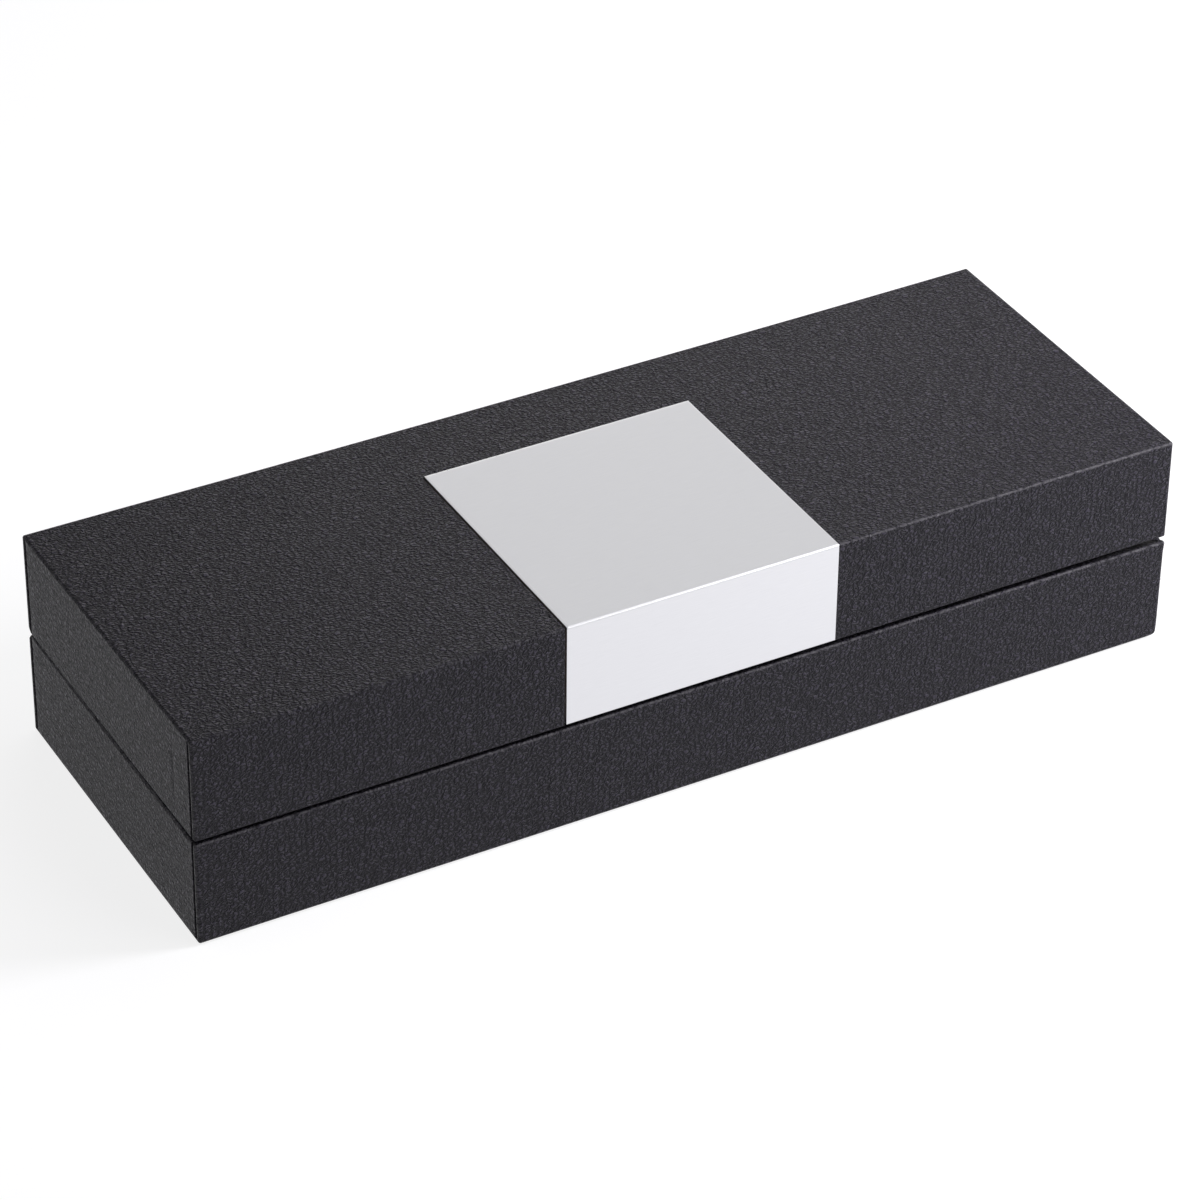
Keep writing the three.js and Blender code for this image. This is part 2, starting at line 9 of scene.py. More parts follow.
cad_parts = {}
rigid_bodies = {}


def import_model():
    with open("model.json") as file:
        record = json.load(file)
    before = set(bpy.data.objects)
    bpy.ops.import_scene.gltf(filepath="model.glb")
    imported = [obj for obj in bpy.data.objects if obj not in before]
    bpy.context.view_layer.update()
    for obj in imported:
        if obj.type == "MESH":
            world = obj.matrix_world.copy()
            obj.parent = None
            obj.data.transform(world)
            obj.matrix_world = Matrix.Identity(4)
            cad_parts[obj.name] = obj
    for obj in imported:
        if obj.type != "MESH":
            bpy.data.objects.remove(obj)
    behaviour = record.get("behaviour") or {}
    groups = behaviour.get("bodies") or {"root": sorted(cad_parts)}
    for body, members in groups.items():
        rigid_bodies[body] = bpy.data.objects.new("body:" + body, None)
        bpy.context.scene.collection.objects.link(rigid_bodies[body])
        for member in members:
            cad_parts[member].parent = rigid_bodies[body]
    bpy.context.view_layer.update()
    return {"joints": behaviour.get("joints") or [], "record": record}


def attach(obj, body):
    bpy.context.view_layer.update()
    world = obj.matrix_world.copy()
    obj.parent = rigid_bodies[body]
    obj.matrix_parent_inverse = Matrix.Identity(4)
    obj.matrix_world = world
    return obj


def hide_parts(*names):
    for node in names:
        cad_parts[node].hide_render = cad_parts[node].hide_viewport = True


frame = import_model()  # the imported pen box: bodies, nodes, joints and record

# Pen storage box. Every builder below works in millimetres on a shut, level box; settle() then
# brings its mesh to metres and gives the lid's pieces the small angle at which the lid rests.
mm = 0.001
scene = bpy.context.scene

box = {
    "length": 180, "depth": 64.4,
    "baseRim": 19.9, "basePanel": 0.3,
    "lidRim": 20.0, "lidPanel": 38.9,
    "ajar": 0.45,  # degrees
    "grooveDepth": 1.0, "grooveHeight": 1.1,  # the hinge groove along the back
    "hingePlace": 59, "hingeRoom": 21.0,
    "plateLeft": -25.3, "plateRight": 25.05, "plateBack": 17.15, "plateDepth": 0.7,
}

pivot = Vector(frame["joints"][0]["pos_m"])
places = {
    "base": Matrix.Scale(mm, 4),
    "lid": Matrix.Translation(pivot) @ Matrix.Rotation(-math.radians(box["ajar"]), 4, "X")
    @ Matrix.Translation(-pivot) @ Matrix.Scale(mm, 4),
}


def newObject(name, data):
    if isinstance(data, bmesh.types.BMesh):
        form, data = data, bpy.data.meshes.new(name)
        form.to_mesh(data)
        form.free()
    obj = bpy.data.objects.new(name, data)
    scene.collection.objects.link(obj)
    return obj


def adjust(thing, settings):
    for key, value in settings.items():
        setattr(thing, key, value)
    return thing


# Makes the modifiers real, puts the piece in its place, and hands it to a body of the frame.
def settle(obj, body, nodes, sharp=50):
    bpy.context.view_layer.update()
    graph = bpy.context.evaluated_depsgraph_get()
    mesh = bpy.data.meshes.new_from_object(obj.evaluated_get(graph), depsgraph=graph)
    name = obj.name
    bpy.data.objects.remove(obj)
    mesh.transform(places[body])
    mesh.shade_smooth()
    if sharp:
        mesh.set_sharp_from_angle(angle=math.radians(sharp))
    obj = newObject(name, mesh)
    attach(obj, body)
    if nodes:
        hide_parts(*nodes)
    return obj


# Faces over a net of points, turned over if asked.
def addNet(bm, rows, turned=False):
    faces = []
    for low, high in zip(rows, rows[1:]):
        for i in range(len(low) - 1):
            quad = [low[i], low[i + 1], high[i + 1], high[i]]
            faces.append(bm.faces.new(quad[::-1] if turned else quad))
    return faces


def smoothStep(low, high, value):
    t = min(1, max(0, (value - low) / (high - low)))
    return t * t * (3 - 2 * t)


def toLinear(hexColour):
    parts = [int(hexColour[i:i + 2], 16) / 255 for i in (1, 3, 5)]
    return (*[c / 12.92 if c <= 0.04045 else ((c + 0.055) / 1.055) ** 2.4 for c in parts], 1)


# Gives a node its inputs, by name or number or as a list. A hex value is a colour, and another
# node stands for its first output that its settings leave in use.
def fill(node, inputs):
    for key, value in inputs.items() if isinstance(inputs, dict) else enumerate(inputs):
        if isinstance(value, str) and value.startswith("#"):
            value = toLinear(value)
        if isinstance(value, bpy.types.Node):
            value = next(socket for socket in value.outputs if socket.enabled)
        if isinstance(value, bpy.types.NodeSocket):
            node.id_data.links.new(value, node.inputs[key])
        else:
            node.inputs[key].default_value = value
    return node


# One node with its inputs and its settings. A shader node's kind goes without its first half.
def addNode(tree, kind, inputs=(), operation=None, **settings):
    if operation:
        settings["operation"] = operation
    node = tree.nodes.new(kind if "Node" in kind else "ShaderNode" + kind)
    return fill(adjust(node, settings), inputs)


def startMaterial(name, surface):
    material = bpy.data.materials.new(name)
    material.use_nodes = True
    tree = material.node_tree
    return material, partial(addNode, tree), fill(tree.nodes["Principled BSDF"], surface)


# A plain surface whose colour follows one pattern, with a grain of so many millimetres. Its
# relief (strength and depth) and its gloss (two roughnesses) may follow that pattern too.
def makeSurface(name, surface, dark, light, grain, detail=2, stretch=(1, 1, 1), relief=None,
                gloss=None, kind="TexNoise"):
    material, add, shader = startMaterial(name, surface)
    where = add("TexCoord").outputs["Object"]
    drawn = add("Mapping", {"Vector": where, "Scale": stretch})
    pattern = add(kind, {"Vector": drawn, "Scale": 1 / (grain * mm), "Detail": detail})
    colour = add("Mix", {0: pattern, 6: dark, 7: light}, data_type="RGBA")
    fill(shader, {"Base Color": colour})
    if relief:
        strength, depth = relief
        bump = add("Bump", {"Strength": strength, "Distance": depth * mm, "Height": pattern})
        fill(shader, {"Normal": bump})
    if gloss:
        shine = add("MapRange", {"Value": pattern, "To Min": gloss[0], "To Max": gloss[1]})
        fill(shader, {"Roughness": shine})
    return material


# Camera, where the photographer stood: in front, to the left and above.
camera = {
    "location": (-0.32597, -0.57831, 0.48070),
    "rotation": (55.0506, -0.7495, -28.8030),  # degrees
    "lens": 145.99, "sensor": 36, "nearest": 0.01,
}
cameraData = adjust(bpy.data.cameras.new("photoCamera"), {
    "lens": camera["lens"], "sensor_width": camera["sensor"], "clip_start": camera["nearest"]})
cameraObject = newObject("photoCamera", cameraData)
cameraObject.location = camera["location"]
cameraObject.rotation_euler = [math.radians(a) for a in camera["rotation"]]
scene.camera = cameraObject
print("camera placed")


# Studio: a light table of opal acrylic, which keeps the floor white and shadows faint, in a dim
# tent, with soft boxes near the right front corner and others low behind the box, whose grazing
# light brings out the leatherette's grain.
studio = {
    "tent": "#e9e9ec", "tentStrength": 0.1,
    "table": "#8a8a8c", "glow": "#ffffff", "tableGlow": 0.8, "tableSize": 6,
    "below": -0.00005,  # just clear of the underside, so that the two don't coincide
    "lamps": {
        # place, aim (m), size (m), watts, colour
        "right": ((0.26, -0.12, 0.20), (0.04, 0, 0.02), 0.12, 1.45, "#fbfaff"),
        "frontHigh": ((0.34, -0.60, 0.36), (0, -0.03, 0.03), 0.50, 1.22, "#ffffff"),
        "overhead": ((0.36, -0.02, 0.72), (0, 0, 0.02), 0.75, 1.63, "#ffffff"),
        "backHigh": ((0.28, 0.50, 0.42), (0, 0, 0.02), 0.60, 0.66, "#ffffff"),
        "backRight": ((0.45, 0.60, 0.14), (0, 0, 0.02), 0.25, 0.3, "#fffdf8"),
        "backLow": ((0.28, 0.73, 0.14), (0, 0, 0.02), 0.25, 0.4, "#fffdf8"),
        "left": ((-0.30, 0.05, 0.40), (-0.05, 0, 0.02), 0.40, 0.35, "#ffffff"),
    },
}


def buildStudio():
    scene.view_settings.view_transform = "Standard"
    scene.world = bpy.data.worlds.new("lightTent")
    scene.world.use_nodes = True
    fill(scene.world.node_tree.nodes["Background"], {
        "Color": studio["tent"], "Strength": studio["tentStrength"]})
    material = startMaterial("opalAcrylic", {
        "Roughness": 0.9,
        "Specular IOR Level": 0.2,
        "Emission Color": studio["glow"],
        "Emission Strength": studio["tableGlow"],
        "Base Color": studio["table"],
    })[0]
    reach = studio["tableSize"] / 2
    corners = [(x * reach, y * reach, studio["below"])
               for x, y in ((-1, -1), (1, -1), (1, 1), (-1, 1))]
    mesh = bpy.data.meshes.new("table")
    mesh.from_pydata(corners, [], [(0, 1, 2, 3)])
    mesh.materials.append(material)
    newObject("table", mesh)
    for name, (place, aim, size, watts, colour) in studio["lamps"].items():
        lamp = adjust(bpy.data.lights.new(name, "AREA"), {
            "shape": "DISK", "size": size, "energy": watts, "color": toLinear(colour)[:3]})
        obj = newObject(name, lamp)
        obj.location = place
        obj.rotation_euler = (Vector(aim) - Vector(place)).to_track_quat("-Z", "Y").to_euler()


buildStudio()
print("studio lit")


# Polyurethane leatherette, embossed by a roller: dull black, low round pebbles about 0.7 mm across
# that run together into short wrinkles, smooth and a little worn where it is folded. Its colour
# also holds painted light: crests painted lighter and creases painted darker, a painted highlight
# along the folds, and painted shade in the lap seams.
leatherette = {
    # the first two colours are the grain's painted highlight and painted shade, the third is wear
    # and a painted highlight along the folds, the last is painted shade in the lap seam
    "litPebble": "#373340", "crease": "#121017", "wornAndHighlight": "#4a484c", "lap": "#020202",
    "pebbleSize": 0.7, "wrinkleSize": 2.8, "relief": 0.2,  # mm
    "stretch": (0.7, 1.2, 1),  # the pebbles are drawn out along the roll
    "driftScale": 1.1, "drift": (1.2, 1.2, 0),  # per mm, and mm: bends the rows of pebbles
    "domeWidth": 0.45, "domeHeights": (0.8, 1.2),
    "wrinkleWidth": 0.06, "wrinkleShare": 0.55,
    "swellScale": 0.9, "swellShare": 0.85,
    "paintedLightHeights": (1.2, 2.25), "glossy": (0.65, 2.55),  # heights of the grain from which to which
    "roughness": (0.59, 0.33),  # in the creases and on the crests
    "foldedRelief": 0.25,  # what is left of the grain where the sheet is folded hard
}


def makeLeatherette():
    v = leatherette
    material, add, shader = startMaterial("embossedLeatherette", {
        "IOR": 1.5, "Specular IOR Level": 0.2})
    sheet = add("UVMap", uv_map="sheet")
    drift = add("TexNoise", {"Vector": sheet, "Scale": v["driftScale"], "Detail": 2},
                noise_dimensions="2D")
    around = add("VectorMath", [drift.outputs["Color"], (0.5, 0.5, 0.5)], "SUBTRACT")
    bent = add("VectorMath", [around, v["drift"], sheet], "MULTIPLY_ADD")
    stretched = add("VectorMath", [bent, v["stretch"]], "MULTIPLY")
    cells = {"Vector": stretched, "Scale": 1 / v["pebbleSize"], "Randomness": 0.9}
    pebbles = add("TexVoronoi", cells, voronoi_dimensions="2D", feature="DISTANCE_TO_EDGE")
    each = add("TexVoronoi", cells, voronoi_dimensions="2D")
    chance = add("SeparateColor", {"Color": each.outputs["Color"]})
    domes = add("MapRange", {"Value": pebbles, "From Max": v["domeWidth"]},
                interpolation_type="SMOOTHERSTEP")
    tall = add("MapRange", {
        "Value": chance, "To Min": v["domeHeights"][0], "To Max": v["domeHeights"][1]})
    bosses = add("Math", [domes, tall], "MULTIPLY")
    wrinkles = add("TexVoronoi", {"Vector": bent, "Scale": 1 / v["wrinkleSize"]},
                   voronoi_dimensions="2D", feature="DISTANCE_TO_EDGE")
    folds = add("MapRange", {"Value": wrinkles, "From Max": v["wrinkleWidth"]},
                interpolation_type="SMOOTHSTEP")
    swell = add("TexNoise", {"Vector": sheet, "Scale": v["swellScale"], "Detail": 3},
                noise_dimensions="2D")
    grain = add("Math", [folds, v["wrinkleShare"], bosses], "MULTIPLY_ADD")
    grain = add("Math", [swell, v["swellShare"], grain], "MULTIPLY_ADD")

    # the wear attribute is 1 on a hard fold, which brings real wear and a painted highlight, and -1
    # where one end laps over the other, which brings painted shade
    wearAndPaintedLight = add("Attribute", attribute_name="wearAndPaintedLight").outputs["Fac"]
    worked = add("Math", [wearAndPaintedLight], "ABSOLUTE")
    flat = add("MapRange", {"Value": worked, "To Min": 1, "To Max": v["foldedRelief"]})
    height = add("Math", [grain, flat], "MULTIPLY")
    bump = add("Bump", {"Strength": 1, "Distance": v["relief"] * mm, "Height": height})

    # painted shade and highlight: the creases painted dark and the crests light, as grazing light
    # would shade the grain
    litCrests = add("MapRange", {
        "Value": grain, "From Min": v["paintedLightHeights"][0], "From Max": v["paintedLightHeights"][1]})
    grainLightAndShade = add("Mix", {0: litCrests, 6: v["crease"], 7: v["litPebble"]}, data_type="RGBA")
    # lighter along the folds: partly real rubbing, partly a painted highlight where the edges catch
    # the light
    scuffs = add("TexNoise", {"Vector": sheet, "Scale": 0.9, "Detail": 4}, noise_dimensions="2D")
    wearAndHighlightNoise = add("Math", [wearAndPaintedLight, 0.25, scuffs], "MULTIPLY_ADD")
    rubbedAndLit = add("MapRange", {"Value": wearAndHighlightNoise, "From Min": 0.5, "From Max": 0.7})
    wornAndHighlight = add("Math", [rubbedAndLit, wearAndPaintedLight], "MULTIPLY")
    colour = add("Mix", {0: wornAndHighlight, 6: grainLightAndShade, 7: v["wornAndHighlight"]}, data_type="RGBA")
    # near black in the lap seam: painted shade in its groove
    lapShade = add("MapRange", {"Value": wearAndPaintedLight, "From Min": -0.25, "From Max": -0.9})
    dark = add("Mix", {0: lapShade, 6: colour, 7: v["lap"]}, data_type="RGBA")
    shine = add("MapRange", {
        "Value": grain, "From Min": v["glossy"][0], "From Max": v["glossy"][1],
        "To Min": v["roughness"][0], "To Max": v["roughness"][1]})
    fill(shader, {"Base Color": dark, "Roughness": shine, "Normal": bump})
    return material


leatheretteMaterial = makeLeatherette()
# the cut edge shows the leatherette's knitted backing: dull, mottled grey
cutEdgeMaterial = makeSurface("leatheretteBacking", {"Roughness": 0.9}, "#0d0d0f", "#4a494d", 0.4)


# Coverings: one skin of leatherette over each half, down its walls, round the rim and inside.
covering = {
    "edgeRadius": 0.4, "rimFold": 0.45, "arcSteps": 4,
    "rimRadius": {"base": 0.4, "lid": 0.3}, "rimCrown": 0.2,
    "rimDrop": {"base": 0.25, "lid": 0.1},  # along the front, where the halves part
    "skin": 0.38,
    "flapInset": 3.8, "flapDrop": 8, "underTurnIn": 12,
    "spacing": 1.7, "rimSpacing": 0.4, "underSpacing": 2.5, "cornerZone": 16,
    "lapInset": 1.1, "lapWidth": 0.8, "lapBottom": 0.45, "lapDepth": 0.3,
    "seamStart": 0.5,  # the seams at the back stop short of the rim, where the halves turn
    "support": 0.3,  # flat strip beside each rounded edge, so that the edge shades crisply
    "mitreDepth": 0.1, "mitreWidth": 0.2,
    # a crease down the lid's left end
    "crease": -25.2, "creaseSpan": (22.5, 35), "creaseLift": 0.09,
    "wave": 0.035, "waveLength": 24, "waveSeed": 4,
    "backBow": 0.2, "twist": 0.17,
    # the base's right front corner: the rim flares a little, the bottom is knocked in
    "flare": (0.13, -0.07, 0.03), "flareReach": 1.6,
    "tuck": (-0.22, 0.12, 0.1), "tuckReach": 1.1,
    "sheetGap": 300,  # between the two halves' sheets
}


# Places along one side, closely enough spaced, with some of them exact.
def marks(low, high, spacing, exact=()):
    fixed = sorted({low, high, *[e for e in exact if low < e < high]})
    found = list(fixed)
    for start, end in zip(fixed, fixed[1:]):
        count = max(1, round((end - start) / spacing))
        found += [start + (end - start) * i / count for i in range(1, count)]
    return sorted(found)


# Half the length and half the depth of the outside, and the radius of its edges.
def outside():
    return box["length"] / 2, box["depth"] / 2, covering["edgeRadius"]


# The way round one half, anticlockwise seen from above: each stop's centre and outward
# direction, and for the strip up to the next stop, its sheet and the sheet's two coordinates.
def wallPath(xs, ys):
    a, b, r = outside()
    a, b, steps = a - r, b - r, covering["arcSteps"]
    quarter = r * math.radians(90)
    # each side's stops, then the sheet that its last corner is on, and where and which way
    sides = [
        ("front", [(x, -b) for x in xs], xs, "front", a, 1),
        ("right", [(a, y) for y in ys], ys, "back", a + quarter, -1),
        ("back", [(x, b) for x in reversed(xs)], xs[::-1], "back", -a, -1),
        ("left", [(-a, y) for y in reversed(ys)], ys[::-1], "front", -a - quarter, 1),
    ]
    stops, strips = [], []
    for turn, (side, centres, along, sheet, first, way) in enumerate(sides):
        start = math.radians(90 * turn - 90)
        for i in range(len(centres) - 1):
            stops.append((centres[i], (math.cos(start), math.sin(start))))
            strips.append((side, along[i], along[i + 1]))
        for s in range(steps):
            angle = start + math.radians(90) * s / steps
            stops.append((centres[-1], (math.cos(angle), math.sin(angle))))
            strips.append((sheet, *[first + way * (quarter * (s + e) / steps) for e in (0, 1)]))
    return stops, strips


# The skin's profile from the panel to the end of the flap: inset from the outside, height from
# the rim towards the panel, distance along the sheet, and how much the fold is worn.
def skinProfile(half):
    v = covering
    r, fold, steps = v["edgeRadius"], v["rimFold"], v["arcSteps"]
    tall = abs(box[half + "Panel"] - box[half + "Rim"])
    angles = [math.radians(90) * s / steps for s in range(steps + 1)]
    profile = []
    if half == "base":
        for inset in reversed(marks(r, v["underTurnIn"], v["underSpacing"])[1:]):
            profile.append((inset, tall, r - inset, 0))
    for angle in angles:
        profile.append((r - r * math.sin(angle), tall - r + r * math.cos(angle), r * angle,
                        math.sin(2 * angle)))
    sheet = profile[-1][2]
    q = v["rimRadius"][half]
    beside = (q + v["support"], tall - r - v["support"])
    for h in reversed(marks(q, tall - r, v["spacing"], beside)[:-1]):
        profile.append((0, h, sheet + tall - r - h, 0))
    sheet = profile[-1][2]
    for angle in angles[1:]:
        profile.append((q - q * math.cos(angle), q - q * math.sin(angle), sheet + q * angle,
                        0.7 * math.sin(2 * angle)))
    sheet = profile[-1][2]
    inner = v["flapInset"] - fold
    for inset in marks(q, inner, v["rimSpacing"], (r, box["plateDepth"], 2.0))[1:]:
        crown = v["rimCrown"] * smoothStep(q - 0.15, 1.5, inset)
        profile.append((inset, crown, sheet + inset - q, 0))
    sheet, crown = profile[-1][2], profile[-1][1]
    for angle in angles[1:]:
        profile.append((inner + fold * math.sin(angle), crown + fold - fold * math.cos(angle),
                        sheet + fold * angle, 0))
    sheet = profile[-1][2]
    for h in marks(fold + crown, v["flapDrop"], v["spacing"])[1:]:
        profile.append((v["flapInset"], h, sheet + h - fold, 0))
    return profile, tall


# A coordinate brought in by the inset, all of it taken up near the corners.
def squeeze(value, reach, inset):
    r, zone = covering["edgeRadius"], covering["cornerZone"]
    start = reach - zone
    if abs(value) <= start:
        return value
    moved = start + (abs(value) - start) * (zone - inset) / (zone - r)
    return math.copysign(moved, value)


def skinPoint(half, stop, ring, tall):
    v = covering
    (cx, cy), (nx, ny) = stop
    inset, height = ring[:2]
    a, b, r = outside()
    seamStart = v["seamStart"] if cy > 0 else 0
    if abs(nx) == 1 and seamStart < height < tall - r and inset < r:
        if abs(abs(cy) - (b - v["lapInset"])) < v["lapBottom"] / 2 + 0.01:
            inset += v["lapDepth"]
    atCorner = abs(abs(cx) - a + r) < 1e-6 and abs(abs(cy) - b + r) < 1e-6
    atMitre = 0.01 < abs(nx) < 0.99 or atCorner
    if inset >= r:
        x, y = squeeze(cx, a, inset), squeeze(cy, b, inset)
        if atMitre and height < v["rimCrown"] + 0.01:
            height += v["mitreDepth"]
        elif atMitre and height == tall and inset > r:
            height -= v["mitreDepth"]
    else:
        x, y = cx + nx * (r - inset), cy + ny * (r - inset)
    intoGroove = min(1, max(0, (y - b + box["grooveDepth"]) / box["grooveDepth"]))
    lift = box["grooveHeight"] * intoGroove
    height = lift + height * (tall - lift) / tall
    away = 1 if half == "lid" else -1
    return Vector((x, y, box[half + "Rim"] + away * height))


# How rubbed the skin is, from 0 to 1, which also sets a painted highlight along the edges that
# catch the light, with -1 where one turned-in end laps over the other, for painted shade in the
# lap.
def skinWearAndPaintedLight(half, p, ring, stop, tall):
    v = covering
    b, r = outside()[1:]
    inset, height = ring[:2]
    if abs(stop[1][0]) == 1 and 0 < height < tall - r and inset < r:
        nearLap = abs(abs(p.y) - (b - v["lapInset"]))
        # -1 marks the lap groove, for painted shade there
        if nearLap < v["lapBottom"] / 2 + 0.01:
            return -1
        if nearLap < v["lapWidth"] / 2 + 0.01:
            return 0.5
        low, high = v["creaseSpan"]
        if half == "lid" and p.x < 0 and abs(p.y - v["crease"]) < 0.1 and low < p.z < high - 0.5:
            return 1.6
    corner = abs(stop[1][0] * stop[1][1]) * 2 if inset < r else 0
    # more towards the right and the front, and most on the base's rim edge: partly wear, partly a
    # painted highlight where these edges catch the light
    rubbedAndLit = 0.5 + 0.45 * smoothStep(-60, 60, p.x) * smoothStep(0, -b, p.y)
    if half == "base" and height < r:
        rubbedAndLit = 1.3
    return rubbedAndLit * max(ring[3], 0.8 * corner)


# Small departures of the real case from a perfect one.
def skinShift(half, p):
    v = covering
    a, b = outside()[:2]
    offset = v["sheetGap"] if half == "base" else 0
    shift = noise.noise_vector((p + Vector((offset, 0, 0))) / v["waveLength"]) * v["wave"]
    toRight = smoothStep(-30, a, p.x) * smoothStep(b, -b, p.y)
    toFront = smoothStep(b - 4, -8, p.y)
    if half == "lid":
        share = (p.z - box["lidRim"]) / (box["lidPanel"] - box["lidRim"])
        bow = (v["backBow"] * (1 - (p.x / a) ** 2) * smoothStep(4, b, p.y)
               * smoothStep(0.1, 1, share))
        shift += Vector((0, -bow, -bow))
        shift.z += (v["twist"] * toRight - v["rimDrop"]["lid"] * toFront) * (1 - share)
        if p.x < -a + 0.1 and abs(p.y - v["crease"]) < 0.1:
            low, high = v["creaseSpan"]
            shift.x += (v["creaseLift"] * smoothStep(low, low + 2.5, p.z)
                        * smoothStep(high, high - 3, p.z))
    else:
        share = (p.z - box["basePanel"]) / (box["baseRim"] - box["basePanel"])
        shift.z -= (v["twist"] * toRight + v["rimDrop"]["base"] * toFront) * max(0, share)
        for edge, push, reach in (("baseRim", "flare", "flareReach"),
                                  ("basePanel", "tuck", "tuckReach")):
            distance = (p - Vector((a, -b, box[edge]))).length
            shift += Vector(v[push]) * smoothStep(v[reach], 0, distance)
    return shift


def buildCovering(half):
    v = covering
    a, b, r = outside()
    lap = b - v["lapInset"]
    laps = [s * (lap + e / 2) for s in (-1, 1)
            for e in (-v["lapWidth"], -v["lapBottom"], v["lapBottom"], v["lapWidth"])]
    nearX = [s * (a - r - e) for s in (-1, 1) for e in (v["mitreWidth"], v["support"])]
    nearY = [s * (b - r - e) for s in (-1, 1) for e in (v["mitreWidth"] / 4, v["support"])]
    hinges = [s * (box["hingePlace"] + e * box["hingeRoom"] / 2) for s in (-1, 1)
              for e in (-1, 1)]
    plateEdges = [box["plateLeft"], box["plateRight"]]
    creases = [v["crease"] + e * 0.2 for e in (-1, 0, 1)]
    xs = marks(-a + r, a - r, v["spacing"], [*nearX, *hinges, *plateEdges])
    ys = marks(-b + r, b - r, v["spacing"], [*nearY, *laps, *creases, box["plateBack"]])
    stops, strips = wallPath(xs, ys)
    profile, tall = skinProfile(half)

    bm = bmesh.new()
    wearAndPaintedLight = bm.verts.layers.float.new("wearAndPaintedLight")
    sheetUv = bm.loops.layers.uv.new("sheet")
    grid = []
    for ring in profile:
        row = []
        for stop in stops:
            vert = bm.verts.new(skinPoint(half, stop, ring, tall))
            vert[wearAndPaintedLight] = skinWearAndPaintedLight(half, vert.co, ring, stop, tall)
            row.append(vert)
        grid.append(row)

    def addFace(verts, uvs):
        if half == "base":
            verts, uvs = verts[::-1], uvs[::-1]
        face = bm.faces.new(verts)
        for loop, uv in zip(face.loops, uvs):
            loop[sheetUv].uv = uv

    def onSheet(side, along, distance):
        shift = v["sheetGap"] if half == "base" else 0
        return {
            "front": (along + shift, -b + r - distance),
            "back": (along + shift, b - r + distance),
            "right": (a - r + distance + shift, along),
            "left": (-a + r - distance + shift, along),
        }[side]

    # the openings for the hinges and the plate
    def cutAway(verts, inset):
        x, y, z = (sum(w.co[k] for w in verts) / len(verts) for k in range(3))
        if y > b - 2 and abs(abs(x) - box["hingePlace"]) < box["hingeRoom"] / 2:
            return r < inset < 2
        if half == "lid" and box["plateLeft"] < x < box["plateRight"]:
            return (y < -b + box["plateDepth"]
                    or (z > box["lidPanel"] - 0.5 and y < box["plateBack"]))
        return False

    for k in range(len(profile) - 1):
        inset = (profile[k][0] + profile[k + 1][0]) / 2
        onRim = profile[k][1] < r and profile[k + 1][1] < r
        d0, d1 = profile[k][2], profile[k + 1][2]
        for i, (side, u0, u1) in enumerate(strips):
            j = (i + 1) % len(stops)
            verts = [grid[k][i], grid[k + 1][i], grid[k + 1][j], grid[k][j]]
            if not cutAway(verts, inset if onRim else 0):
                addFace(verts, [onSheet(side, u, d)
                                for u, d in ((u0, d0), (u0, d1), (u1, d1), (u1, d0))])
    if half == "lid":
        top = [[bm.verts.new((x, y, box["lidPanel"])) for x in xs] for y in ys]
        for j in range(len(ys) - 1):
            for i in range(len(xs) - 1):
                verts = [top[j][i], top[j][i + 1], top[j + 1][i + 1], top[j + 1][i]]
                if not cutAway(verts, 0):
                    addFace(verts, [(w.co.x, w.co.y) for w in verts])
    bmesh.ops.remove_doubles(bm, verts=bm.verts, dist=1e-4)
    bmesh.ops.dissolve_degenerate(bm, edges=bm.edges, dist=1e-5)
    bmesh.ops.delete(bm, geom=[w for w in bm.verts if not w.link_faces], context="VERTS")
    for vert in bm.verts:
        vert.co += skinShift(half, vert.co.copy())

    obj = newObject(half + "Covering", bm)
    obj.data.materials.append(leatheretteMaterial)
    obj.data.materials.append(cutEdgeMaterial)
    adjust(obj.modifiers.new("skin", "SOLIDIFY"), {
        "thickness": v["skin"], "offset": -1, "material_offset_rim": 1})
    return settle(obj, half, [half + "_wrap"])


noise.seed_set(covering["waveSeed"])  # else the wave differs from run to run
for half in ("base", "lid"):
    buildCovering(half)
print("coverings laid")


# Aluminium sheet, fine-blasted and clear anodised: a cool silver with a soft, even sheen. Its
# rolling lines and its grit are both drawn coarser than the real ones, so that they show.
aluminium = {
    "dark": "#d6d6d9", "light": "#dedee1", "roughness": (0.3, 0.36),
    "rolled": (0.05, 1.4, 1), "lineScale": 6, "gritScale": 9, "gritDepth": 0.004,  # per mm, mm
}


def makeAluminium():
    v = aluminium
    material, add, shader = startMaterial("anodisedAluminium", {"Metallic": 1})
    sheet = add("UVMap", uv_map="sheet")
    rolled = add("Mapping", {"Vector": sheet, "Scale": v["rolled"]})
    lines = add("TexNoise", {"Vector": rolled, "Scale": v["lineScale"], "Detail": 3},
                noise_dimensions="2D")
    grit = add("TexNoise", {"Vector": sheet, "Scale": v["gritScale"], "Detail": 2},
               noise_dimensions="2D")
    cloud = add("Mix", {0: lines, 6: v["dark"], 7: v["light"]}, data_type="RGBA")
    shine = add("MapRange", {
        "Value": lines, "From Min": 0.2, "From Max": 0.8,
        "To Min": v["roughness"][0], "To Max": v["roughness"][1]})
    bump = add("Bump", {"Strength": 0.35, "Distance": v["gritDepth"] * mm, "Height": grit})
    fill(shader, {"Base Color": cloud, "Roughness": shine, "Normal": bump})
    return material


# The plate: one sheet folded over the lid's top front edge, its sheared edges broken.
plate = {
    "left": -24.95, "right": 24.95, "reach": 49.2, "thickness": 0.6,
    "bendRadius": 0.45, "bendSteps": 10, "proud": 0.05, "foot": 0.2,
    "edgeBreak": 0.08, "spacing": 4, "support": 0.3,
}


